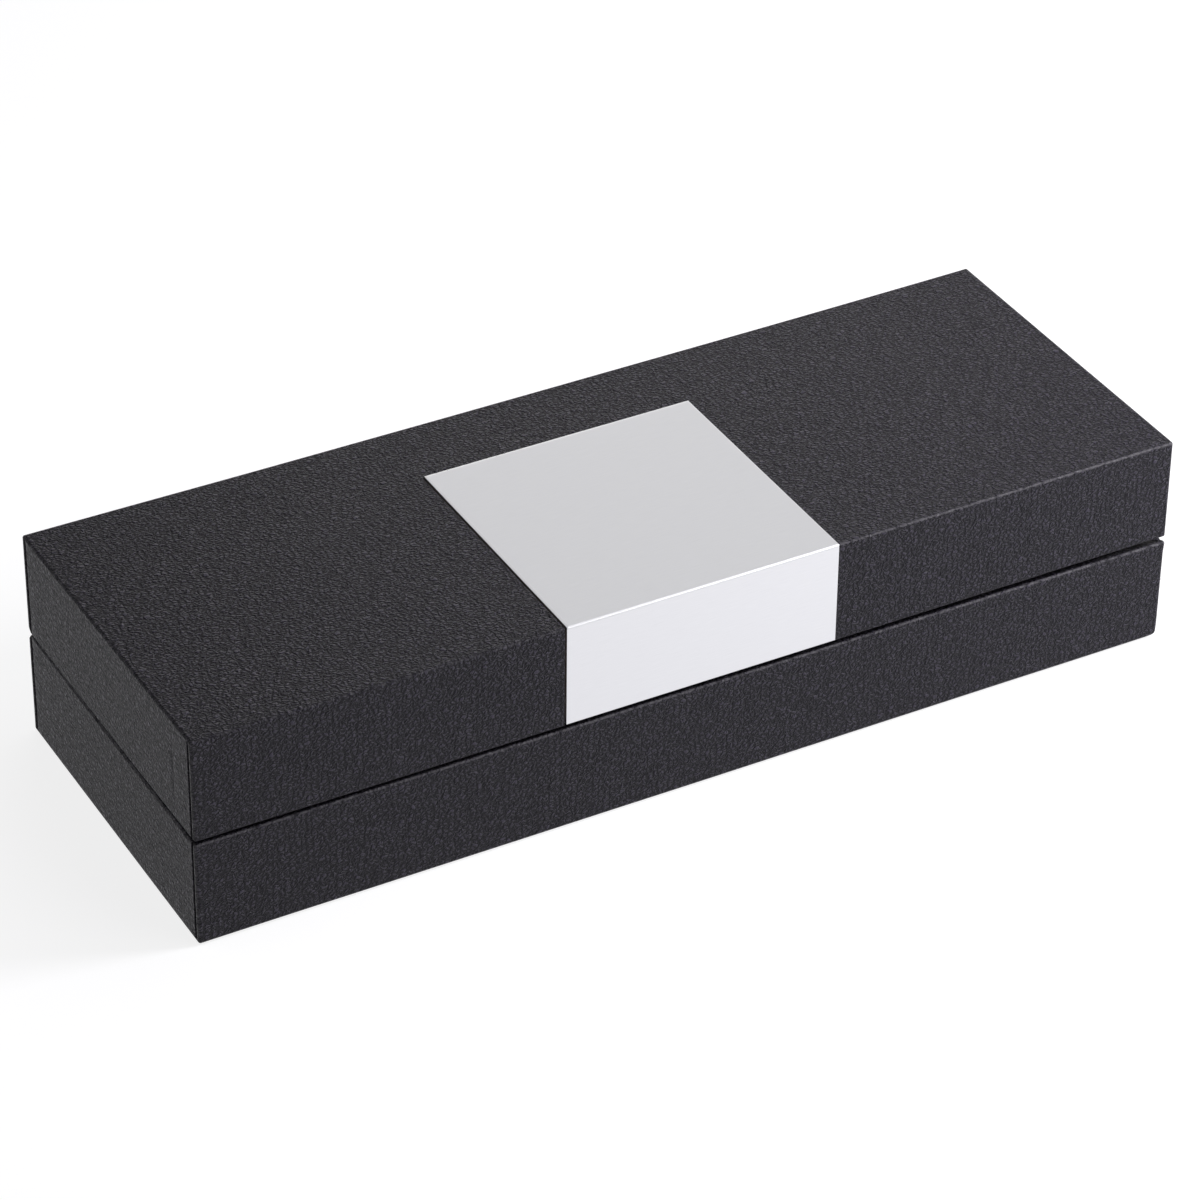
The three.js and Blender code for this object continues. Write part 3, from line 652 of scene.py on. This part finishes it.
def buildPlate():
    v = plate
    y0, z1 = -box["depth"] / 2 - v["proud"], box["lidPanel"] + v["proud"]
    foot, far = box["lidRim"] + v["foot"], -box["depth"] / 2 + v["reach"]
    bend, near = v["bendRadius"], v["support"]
    line = [(y0, z)
            for z in marks(foot, z1 - bend, v["spacing"], (foot + near, z1 - bend - near))]
    for s in range(1, v["bendSteps"]):
        angle = math.radians(90) * s / v["bendSteps"]
        line.append((y0 + bend - bend * math.cos(angle), z1 - bend + bend * math.sin(angle)))
    line += [(y, z1)
             for y in marks(y0 + bend, far, v["spacing"], (y0 + bend + near, far - near))]
    lengths = [0]
    for p, q in zip(line, line[1:]):
        lengths.append(lengths[-1] + math.dist(p, q))
    xs = marks(v["left"], v["right"], v["spacing"], (v["left"] + near, v["right"] - near))
    bm = bmesh.new()
    sheetUv = bm.loops.layers.uv.new("sheet")
    rows = [[bm.verts.new((x, y, z)) for x in xs] for y, z in line]
    onSheet = {vert: (x, length) for row, length in zip(rows, lengths)
               for vert, x in zip(row, xs)}
    for face in addNet(bm, rows):
        for loop in face.loops:
            loop[sheetUv].uv = onSheet[loop.vert]
    obj = newObject("lidPlate", bm)
    obj.data.materials.append(makeAluminium())
    adjust(obj.modifiers.new("gauge", "SOLIDIFY"), {
        "thickness": v["thickness"], "offset": -1, "use_even_offset": True})
    adjust(obj.modifiers.new("brokenEdges", "BEVEL"), {
        "width": v["edgeBreak"], "segments": 2,
        "limit_method": "ANGLE", "angle_limit": math.radians(50)})
    return settle(obj, "lid", ["lid_plate"])


buildPlate()
print("plate folded")


# Geometry Nodes: a tree with named inputs, what ends it, and an object that grows from it.
def startTree(name, inputs):
    tree = bpy.data.node_groups.new(name, "GeometryNodeTree")
    for way in ("INPUT", "OUTPUT"):
        tree.interface.new_socket("Geometry", in_out=way, socket_type="NodeSocketGeometry")
    kinds = {tuple: "NodeSocketVector", float: "NodeSocketFloat", int: "NodeSocketInt"}
    for label, value in inputs.items():
        socket = tree.interface.new_socket(
            label, in_out="INPUT", socket_type=kinds[type(value)])
        socket.default_value = value
    return tree, partial(addNode, tree), tree.nodes.new("NodeGroupInput").outputs


def endTree(tree, geometry, material):
    real = addNode(tree, "GeometryNodeRealizeInstances", {"Geometry": geometry})
    dressed = addNode(tree, "GeometryNodeSetMaterial", {"Geometry": real, "Material": material})
    addNode(tree, "NodeGroupOutput", [dressed])
    return tree


def grow(name, tree, values, mesh=None):
    obj = newObject(name, mesh or bpy.data.meshes.new(name))
    form = adjust(obj.modifiers.new("form", "NODES"), {"node_group": tree})
    for item in tree.interface.items_tree:
        if item.in_out == "INPUT" and item.name in values:
            form[item.identifier] = values[item.name]
    return obj


# Velour: short black nap that stands every way, so that it swallows light and shows pale at
# grazing angles, with the cloudy marks that fingers leave in it.
def makeVelour():
    material, add, shader = startMaterial("blackVelour", {
        "Roughness": 0.95, "Specular IOR Level": 0.15,
        "Sheen Weight": 0.7, "Sheen Roughness": 0.35, "Sheen Tint": "#8a8a92"})
    where = add("TexCoord").outputs["Object"]
    tufts, marked = [add("TexNoise", {
        "Vector": where, "Scale": 1 / (size * mm), "Detail": 3}) for size in (0.45, 14)]  # mm
    brushed = add("MapRange", {"Value": marked, "From Min": 0.4, "From Max": 0.62, "To Max": 0.45})
    nap = add("Math", [tufts, 0.6, brushed], "MULTIPLY_ADD")
    colour = add("Mix", {0: nap, 6: "#0c0c0e", 7: "#303036"}, data_type="RGBA")
    bump = add("Bump", {"Strength": 1, "Distance": 0.25 * mm, "Height": tufts})
    fill(shader, {"Base Color": colour, "Normal": bump})
    return material


# Satin: ivory weave of fine parallel threads, so its gloss is stretched across them.
def makeSatin():
    material, add, shader = startMaterial("ivorySatin", {
        "Specular IOR Level": 0.6, "Anisotropic": 0.6,
        "Sheen Weight": 0.25, "Sheen Roughness": 0.3})
    where = add("TexCoord").outputs["Object"]
    along = add("Mapping", {"Vector": where, "Scale": (0.12, 1, 1)})
    threads, slubs = [add("TexNoise", {
        "Vector": along, "Scale": 1 / (size * mm), "Detail": 2}) for size in (0.18, 1.5)]  # mm
    weave = add("Math", [slubs, 0.5, threads], "MULTIPLY_ADD")
    colour = add("Mix", {0: weave, 6: "#cdc6b4", 7: "#e6e1d2"}, data_type="RGBA")
    shine = add("MapRange", {
        "Value": weave, "From Min": 0.4, "From Max": 1.1, "To Min": 0.42, "To Max": 0.3})
    bump = add("Bump", {"Strength": 0.5, "Distance": 0.04 * mm, "Height": weave})
    fill(shader, {"Base Color": colour, "Roughness": shine, "Normal": bump})
    return material


velourMaterial = makeVelour()
satinMaterial = makeSatin()
# polyurethane foam under the velour: dull, with open cells about 0.5 mm across
foamMaterial = makeSurface("blackFoam", {"Roughness": 0.95}, "#0c0c0d", "#4c4c50", 0.5, 0,
                           relief=(1, 0.2), kind="TexVoronoi")


# Pen bed: a block with two grooves and a finger scoop, as one distance field, so that the
# velour rolls over every edge and down into the slits as it does over real foam.
bed = {
    "Half size": (85.0, 27.2, 14.9), "Edge": 1.4,
    "Groove end": 69.0, "Groove row": 13.0, "Groove radius": 7.0,
    "Scoop end": 12.5, "Scoop height": 18.4, "Scoop radius": 11.0,
    "Slit place": 42.0, "Slit middle": 8.8, "Slit half": (3.8, 0.7, 10.6),
    "Floor": 3.1, "Roll": 1.0,
}
bedLayers = {
    "velour": {"Voxel": 0.6, "Inset": 0.0},
    "foam": {"Voxel": 1.1, "Inset": 0.75},
    "velourThickness": 0.55,
}


def makeBedTree(name, material, isOpen):
    tree, add, given = startTree(name, {**bed, **bedLayers["velour"]})
    place = add("GeometryNodeInputPosition")
    folded = add("VectorMath", [place], "ABSOLUTE")

    # block with rounded edges
    edge = add("CombineXYZ", {axis: given["Edge"] for axis in "XYZ"})
    past = add("VectorMath", [folded, given["Half size"]], "SUBTRACT")
    past = add("VectorMath", [past, edge], "ADD")
    past = add("VectorMath", [past, (0, 0, 0)], "MAXIMUM")
    far = add("VectorMath", [past], "LENGTH")
    solid = add("Math", [far, given["Edge"]], "SUBTRACT")

    # grooves, one each side, and the scoop across both: rounded rods to take away
    top = add("SeparateXYZ", [given["Half size"]]).outputs["Z"]
    groove = {"X": given["Groove end"], "Y": given["Groove row"], "Z": top}
    scoop = {"Y": given["Scoop end"], "Z": given["Scoop height"]}
    for centre, limit, radius in ((groove, (0, -999, -999), "Groove radius"),
                                  (scoop, (-999, 0, -999), "Scoop radius")):
        middle = add("CombineXYZ", centre)
        out = add("VectorMath", [folded, middle], "SUBTRACT")
        out = add("VectorMath", [out, limit], "MAXIMUM")
        far = add("VectorMath", [out], "LENGTH")
        hole = add("Math", [given[radius], far], "SUBTRACT")
        solid = add("Math", [solid, hole, given["Roll"]], "SMOOTH_MAX")

    # four slits that take the feet of the loops
    slit = place
    for axis, label in (("X", "Slit place"), ("Y", "Groove row"), ("Y", "Slit middle")):
        step = add("CombineXYZ", {axis: given[label]})
        slit = add("VectorMath", [slit, step], "SUBTRACT")
        slit = add("VectorMath", [slit], "ABSOLUTE")
    within = add("VectorMath", [given["Slit half"], slit], "SUBTRACT")
    within = add("SeparateXYZ", [within]).outputs
    deep = add("Math", [within["Z"], -1], "MULTIPLY")
    hole = add("Math", [within["X"], within["Y"]], "MINIMUM")
    hole = add("Math", [hole, deep], "MINIMUM")
    roll = add("Math", [given["Roll"], 0.6], "MULTIPLY")
    solid = add("Math", [solid, hole, roll], "SMOOTH_MAX")

    # level underside, then the skin where the distance is nought
    solid = add("Math", [solid, given["Inset"]], "ADD")
    height = add("SeparateXYZ", [place]).outputs["Z"]
    under = add("Math", [given["Floor"], height], "SUBTRACT")
    solid = add("Math", [solid, under], "MAXIMUM")
    density = add("Math", [solid, -1], "MULTIPLY")
    low = add("VectorMath", [given["Half size"], (-1, -1, 0), (-2, -2, 1.5)], "MULTIPLY_ADD")
    high = add("VectorMath", [given["Half size"], (2, 2, 2)], "ADD")
    span = add("VectorMath", [high, low], "SUBTRACT")
    size = add("CombineXYZ", {axis: given["Voxel"] for axis in "XYZ"})
    count = add("VectorMath", [span, size], "DIVIDE")
    count = add("SeparateXYZ", [count]).outputs
    field = add("GeometryNodeVolumeCube", {
        "Density": density, "Background": -3.0, "Min": low, "Max": high,
        **{"Resolution " + axis: count[axis] for axis in "XYZ"}})
    shape = add("GeometryNodeVolumeToMesh", {"Volume": field, "Threshold": 0.0})
    if isOpen:
        edge = add("Math", [given["Floor"], 0.1], "ADD")
        below = add("FunctionNodeCompare", [height, edge], "LESS_THAN")
        shape = add("GeometryNodeDeleteGeometry", {"Geometry": shape, "Selection": below},
                    domain="FACE")
    return endTree(tree, shape, material)


def buildBed():
    v = bedLayers
    velourTree = makeBedTree("velourOverBed", velourMaterial, True)
    cover = grow("penBedVelour", velourTree, {**bed, **v["velour"]})
    adjust(cover.modifiers.new("nap", "SOLIDIFY"), {
        "thickness": v["velourThickness"], "offset": -1})
    cover = settle(cover, "base", ["pen_bed_velour"], 0)
    core = grow("penBedFoam", makeBedTree("foamCore", foamMaterial, False),
                {**bed, **v["foam"]})
    core = settle(core, "base", ["pen_bed_foam"], 50)


buildBed()
print("bed covered")


# Elastic: a flat braid with ribs along it and weft threads 0.45 mm apart across it, dull black.
def makeElastic():
    material, add, shader = startMaterial("blackElastic", {
        "Roughness": 0.75, "Specular IOR Level": 0.3,
        "Sheen Weight": 0.3, "Sheen Tint": "#77777c"})
    run = add("Attribute", attribute_name="run").outputs["Fac"]
    weft = add("Math", [run, 2 * math.pi / 0.45], "MULTIPLY")
    weft = add("Math", [weft], "SINE")
    where = add("TexCoord").outputs["Object"]
    fuzz = add("TexNoise", {"Vector": where, "Scale": 1 / (0.25 * mm), "Detail": 2})
    height = add("Math", [weft, 0.4, fuzz], "MULTIPLY_ADD")
    colour = add("Mix", {0: height, 6: "#060607", 7: "#1d1d20"}, data_type="RGBA")
    bump = add("Bump", {"Strength": 1, "Distance": 0.06 * mm, "Height": height})
    fill(shader, {"Base Color": colour, "Normal": bump})
    return material


# The two loops: a ribbed band swept along its path, up out of one slit and down into the other.
loops = {
    "place": 42.0, "row": 13.0, "reach": 8.8, "foot": 10.95, "shoulder": 15.4, "rise": 1.4,
    "bend": 0.9, "bendDrop": 0.6, "lean": 75, "bendSteps": 6, "archSteps": 16,
}
band = {"Width": 7.0, "Thickness": 0.78, "Ribs": 7, "Rib depth": 0.09, "Step": 0.25}


def makeLoopTree(material):
    tree, add, given = startTree("elasticBand", band)
    path = add("GeometryNodeMeshToCurve", {"Mesh": given["Geometry"]})
    path = add("GeometryNodeResampleCurve", {"Curve": path, "Length": given["Step"]}, mode="LENGTH")
    path = add("GeometryNodeSetCurveNormal", {"Curve": path, "Normal": (1, 0, 0)}, mode="FREE")
    run = add("GeometryNodeSplineParameter").outputs["Length"]
    path = add("GeometryNodeStoreNamedAttribute", {"Geometry": path, "Name": "run", "Value": run},
               data_type="FLOAT", domain="POINT")
    section = add("GeometryNodeCurvePrimitiveQuadrilateral", {
        "Width": given["Width"], "Height": given["Thickness"]})
    section = add("GeometryNodeResampleCurve", {"Curve": section, "Count": 96})
    place = add("GeometryNodeInputPosition")
    axes = add("SeparateXYZ", [place]).outputs
    turns = add("Math", [given["Ribs"], given["Width"]], "DIVIDE")
    angle = add("Math", [turns, 2 * math.pi], "MULTIPLY")
    angle = add("Math", [angle, axes["X"]], "MULTIPLY")
    wave = add("Math", [angle], "COSINE")
    side = add("Math", [axes["Y"]], "SIGN")
    bulge = add("Math", [wave, 1.0], "SUBTRACT")
    bulge = add("Math", [bulge, given["Rib depth"]], "MULTIPLY")
    bulge = add("Math", [bulge, side], "MULTIPLY")
    move = add("CombineXYZ", {"Y": bulge})
    section = add("GeometryNodeSetPosition", {"Geometry": section, "Offset": move})
    sweep = add("GeometryNodeCurveToMesh", {
        "Curve": path, "Profile Curve": section, "Fill Caps": True})
    return endTree(tree, sweep, material)


def buildLoops():
    v = loops
    tree = makeLoopTree(makeElastic())
    for side, row in (("front", -v["row"]), ("back", v["row"])):
        name = "penLoop" + side.capitalize()
        r, top, out = v["bend"], v["shoulder"], -v["reach"]
        start = top - r - v["bendDrop"]
        line = [(out, v["foot"]), (out, start)]
        # the shoulder bends over, then the band arches up over the pen and mirrors
        for s in range(1, v["bendSteps"] + 1):
            angle = math.radians(v["lean"]) * s / v["bendSteps"]
            line.append((out + r - r * math.cos(angle), start + r * math.sin(angle)))
        inner, height = line[-1]
        for s in range(1, v["archSteps"] + 1):
            t = s / v["archSteps"]
            line.append((inner * (1 - t), height + (top + v["rise"] - height) * (2 * t - t * t)))
        line += [(-y, z) for y, z in reversed(line[:-1])]
        mesh = bpy.data.meshes.new(name)
        mesh.from_pydata([(v["place"], row + y, z) for y, z in line],
                         [(i, i + 1) for i in range(len(line) - 1)], [])
        settle(grow(name, tree, band, mesh), "base", ["pen_loop_" + side], 40)


buildLoops()
print("loops threaded")


# Linings: a card strip under cloth along each wall, a little uneven as glued cloth is.
linings = {
    "base": ((3.1, 18.7), "velour", velourMaterial),
    "lid": ((21.2, 36.1), "satin", satinMaterial),
}
strip = {
    "outX": 86.1, "outY": 28.3, "thickness": 0.8, "run": 27.4, "radius": 0.3, "spacing": 1.5,
    "uneven": 0.05, "unevenLength": 9,
}


# A block with every edge rounded, as an even net of quads.
def roundedBlock(low, high, radius, spacing):
    rings = []
    for a, b in zip(low, high):
        edge = [radius * (1 - math.cos(math.radians(45) * s / 2)) for s in range(3)]
        exact = [a + e for e in edge] + [b - e for e in edge] + [a + radius, b - radius]
        rings.append(marks(a, b, spacing, exact))
    bm = bmesh.new()
    for axis in range(3):
        p, q = (axis + 1) % 3, (axis + 2) % 3
        for end, value in ((0, low[axis]), (1, high[axis])):
            net = []
            for t in rings[q]:
                line = []
                for s in rings[p]:
                    co = Vector()
                    co[axis], co[p], co[q] = value, s, t
                    line.append(bm.verts.new(co))
                net.append(line)
            addNet(bm, net, not end)
    bmesh.ops.remove_doubles(bm, verts=bm.verts, dist=1e-5)
    for vert in bm.verts:
        core = Vector([min(max(c, a + radius), b - radius)
                       for c, a, b in zip(vert.co, low, high)])
        away = vert.co - core
        if away.length > 1e-9:
            vert.co = core + away.normalized() * radius
    return bm


def buildLinings():
    v = strip
    x, y, t, run = v["outX"], v["outY"], v["thickness"], v["run"]
    for half, ((z0, z1), slotName, material) in linings.items():
        # two corners of each strip, and the way from it into the box
        spans = {
            "front": ((-x, -y, z0), (x, t - y, z1), (0, 1, 0)),
            "back": ((-x, y - t, z0), (x, y, z1), (0, -1, 0)),
            "left": ((-x, -run, z0), (t - x, run, z1), (1, 0, 0)),
            "right": ((x - t, -run, z0), (x, run, z1), (-1, 0, 0)),
        }
        for side, (low, high, inward) in spans.items():
            bm = roundedBlock(low, high, v["radius"], v["spacing"])
            for vert in bm.verts:
                drift = noise.noise(vert.co / v["unevenLength"]) - 0.5
                vert.co += Vector(inward) * drift * v["uneven"]
            obj = newObject(half + "Lining" + side.capitalize(), bm)
            obj.data.materials.append(material)
            settle(obj, half, [f"{half}_lining_{side}"], 50)


buildLinings()
print("linings glued in")


# Lid pad: satin drawn over wadding and glued behind its card. The cloth is let swell against
# the wadding while its border is held, which gives the crown and the puckers along the sides.
pad = {
    "length": 169.4, "depth": 53.8, "back": 35.0, "edge": 2.0, "crown": 4.2, "drawIn": 0.9,
    "steps": (96, 32),
    "frames": 20, "scale": 4,  # the cloth is reckoned at four times its size, in metres
    "borderHold": 0.6, "cap": 0.75,
}
padCloth = {
    "quality": 6, "mass": 0.3, "tension_stiffness": 20, "compression_stiffness": 20,
    "bending_stiffness": 0.05, "use_pressure": True, "uniform_pressure_force": 4,
    "shrink_min": -0.035, "vertex_group_mass": "held",
}


def padForm():
    v = pad
    nx, ny = v["steps"]
    bm = bmesh.new()
    layers = []
    for face in (0, 1):
        rows = []
        for j in range(ny + 1):
            row = []
            for i in range(nx + 1):
                u, w = 2 * i / nx - 1, 2 * j / ny - 1
                x = u * v["length"] / 2 - u * v["drawIn"] * (1 - w * w)
                y = w * v["depth"] / 2 - w * v["drawIn"] * (1 - u * u)
                swell = math.sqrt((1 - u ** 4) * (1 - w ** 4))
                hang = face * (v["edge"] + (v["crown"] - v["edge"]) * swell)
                row.append(bm.verts.new((x, y, v["back"] - hang)))
            rows.append(row)
        layers.append(rows)
    for face, rows in enumerate(layers):
        addNet(bm, rows, face)
    rim = [(i, 0) for i in range(nx)] + [(nx, j) for j in range(ny)]
    rim += [(i, ny) for i in range(nx, 0, -1)] + [(0, j) for j in range(ny, 0, -1)]
    for (i, j), (k, m) in zip(rim, rim[1:] + rim[:1]):
        bm.faces.new([layers[0][j][i], layers[1][j][i], layers[1][m][k], layers[0][m][k]])
    bmesh.ops.recalc_face_normals(bm, faces=bm.faces)
    return bm


# Lets the pad's cloth swell, then brings its points back to scale, none moved past the cap.
def swellPad(obj):
    v = pad
    points = obj.data.vertices
    start = [w.co.copy() for w in points]
    grown = v["scale"] * mm
    centre = Vector((0, 0, v["back"]))
    for point in points:
        point.co = (point.co - centre) * grown
    held = obj.vertex_groups.new(name="held")
    glued = [i for i, p in enumerate(start) if p.z > v["back"] - 0.5]
    border = [i for i, p in enumerate(start) if abs(p.z - v["back"] + v["edge"]) < 0.05]
    held.add(glued, 1, "REPLACE")
    held.add(border, v["borderHold"], "REPLACE")
    cloth = obj.modifiers.new("swell", "CLOTH")
    adjust(cloth.settings, padCloth).effector_weights.gravity = 0
    cloth.collision_settings.use_collision = False
    for frameNumber in range(1, v["frames"] + 1):
        scene.frame_set(frameNumber)
    graph = bpy.context.evaluated_depsgraph_get()
    swollen = obj.evaluated_get(graph).to_mesh()
    ends = [w.co / grown + centre for w in swollen.vertices]
    obj.evaluated_get(graph).to_mesh_clear()
    obj.modifiers.remove(cloth)
    for point, p, end in zip(points, start, ends):
        move = end - p
        if move.length > v["cap"]:
            move = move.normalized() * v["cap"]
        point.co = p + move
    scene.frame_set(1)
    most = max((w.co - p).length for w, p in zip(points, start))
    print(f"pad swelled by up to {most:.2f} mm")


def buildPad():
    obj = newObject("lidPad", padForm())
    obj.data.materials.append(satinMaterial)
    swellPad(obj)
    adjust(obj.modifiers.new("finer", "SUBSURF"), {"levels": 1, "render_levels": 1})
    obj = settle(obj, "lid", ["lid_pad"], 0)


buildPad()
print("pad upholstered")


# Loose fibres that the leatherette's backing sheds where it was cut: beside the plate's corner,
# behind the plate, and at a rubbed corner of the base.
fibres = {
    "lidFibresBack": ("lid", {
        "Start": (-25.2, 17.1, 38.86), "End": (-6.0, 17.1, 38.86), "Count": 46,
        "Tip": (0.1, -0.42, 0.1)}),
    "lidFibresFront": ("lid", {
        "Start": (-25.3, -32.08, 20.8), "End": (-25.3, -32.08, 38.4), "Count": 40,
        "Tip": (0.34, 0.0, 0.08)}),
    "baseFibres": ("base", {
        "Start": (89.9, -32.1, 11.2), "End": (89.9, -32.1, 11.9), "Count": 6,
        "Tip": (0.3, -0.2, 0.15)}),
}
fibre = {"Thickness": 0.03, "Share": 0.45, "Spread": 0.9, "Jitter": 0.12, "Seed": 4}
# cotton: pale, uneven and soft to the eye
fibreMaterial = makeSurface("cottonFibre", {"Roughness": 0.9, "Sheen Weight": 0.4},
                            "#5e5c61", "#a5a2a6", 1.5)


def makeFibreTree():
    tree, add, given = startTree("cutEdgeFibres", {**fibres["baseFibres"][1], **fibre})
    line = add("GeometryNodeMeshLine", {
        "Count": given["Count"], "Start Location": given["Start"], "Offset": given["End"]},
        mode="END_POINTS")
    back = add("Math", [given["Jitter"], -1], "MULTIPLY")
    stray = add("FunctionNodeRandomValue", {0: back, 1: given["Jitter"], "Seed": given["Seed"]},
                data_type="FLOAT_VECTOR")
    line = add("GeometryNodeSetPosition", {"Geometry": line, "Offset": stray})
    middle = add("VectorMath", [given["Tip"], (0.4, 0.7, 0.9)], "MULTIPLY")
    hair = add("GeometryNodeCurveQuadraticBezier", {
        "Resolution": 5, "Start": (0, 0, 0), "Middle": middle, "End": given["Tip"]})
    ring = add("GeometryNodeCurvePrimitiveCircle", {"Resolution": 5, 4: given["Thickness"]})
    hair = add("GeometryNodeCurveToMesh", {"Curve": hair, "Profile Curve": ring, "Fill Caps": True})
    seedTwo = add("Math", [given["Seed"], 1], "ADD")
    kept = add("FunctionNodeRandomValue", {6: given["Share"], "Seed": seedTwo}, data_type="BOOLEAN")
    less = add("Math", [given["Spread"], -1], "MULTIPLY")
    turn = add("FunctionNodeRandomValue", {0: less, 1: given["Spread"], "Seed": seedTwo},
               data_type="FLOAT_VECTOR")
    length = add("FunctionNodeRandomValue", {2: 0.4, 3: 1.3, "Seed": given["Seed"]},
                 data_type="FLOAT")
    hairs = add("GeometryNodeInstanceOnPoints", {
        "Points": line, "Selection": kept, "Instance": hair,
        "Rotation": turn, "Scale": length})
    return endTree(tree, hairs, fibreMaterial)


fibreTree = makeFibreTree()
for name, (half, values) in fibres.items():
    settle(grow(name, fibreTree, {**fibre, **values}), half, [], 0)
print("fibres shed")


# Materials of the CAD pieces that stay as they are: pressed boards and papers, dull and flecked
# with fibres of so many millimetres that lie flat, and nickel-plated hinge steel, bright and
# faintly drawn along its length.
boards = {
    "fibreboard": ("greyBoard", "#5d5145", "#8d7f6d", 0.5),
    "underside_paper": ("blackPaper", "#0d0d0f", "#232326", 0.25),
    "pad_card": ("whiteCard", "#aaa08c", "#cbc3b2", 0.4),
    "mounting_tape": ("foamTape", "#cfc8b4", "#e4dfd0", 0.3),
}
carried = {
    slotName: makeSurface(name, {"Roughness": 0.85, "Specular IOR Level": 0.3}, dark, light,
                          fleck, 4, (1, 1, 3), relief=(0.6, 0.05))
    for slotName, (name, dark, light, fleck) in boards.items()
}
carried["hinge_steel"] = makeSurface(
    "platedSteel", {"Metallic": 1, "Anisotropic": 0.4}, "#a09d97", "#c4c1ba",
    0.15, 3, (0.05, 1, 1), relief=(0.4, 0.01), gloss=(0.22, 0.4))
for subpart in frame["record"]["subparts"]:
    if subpart["material_slot"] in carried:
        for place in bpy.data.objects[subpart["node"]].material_slots:
            place.material = carried[subpart["material_slot"]]
print("CAD pieces dressed")
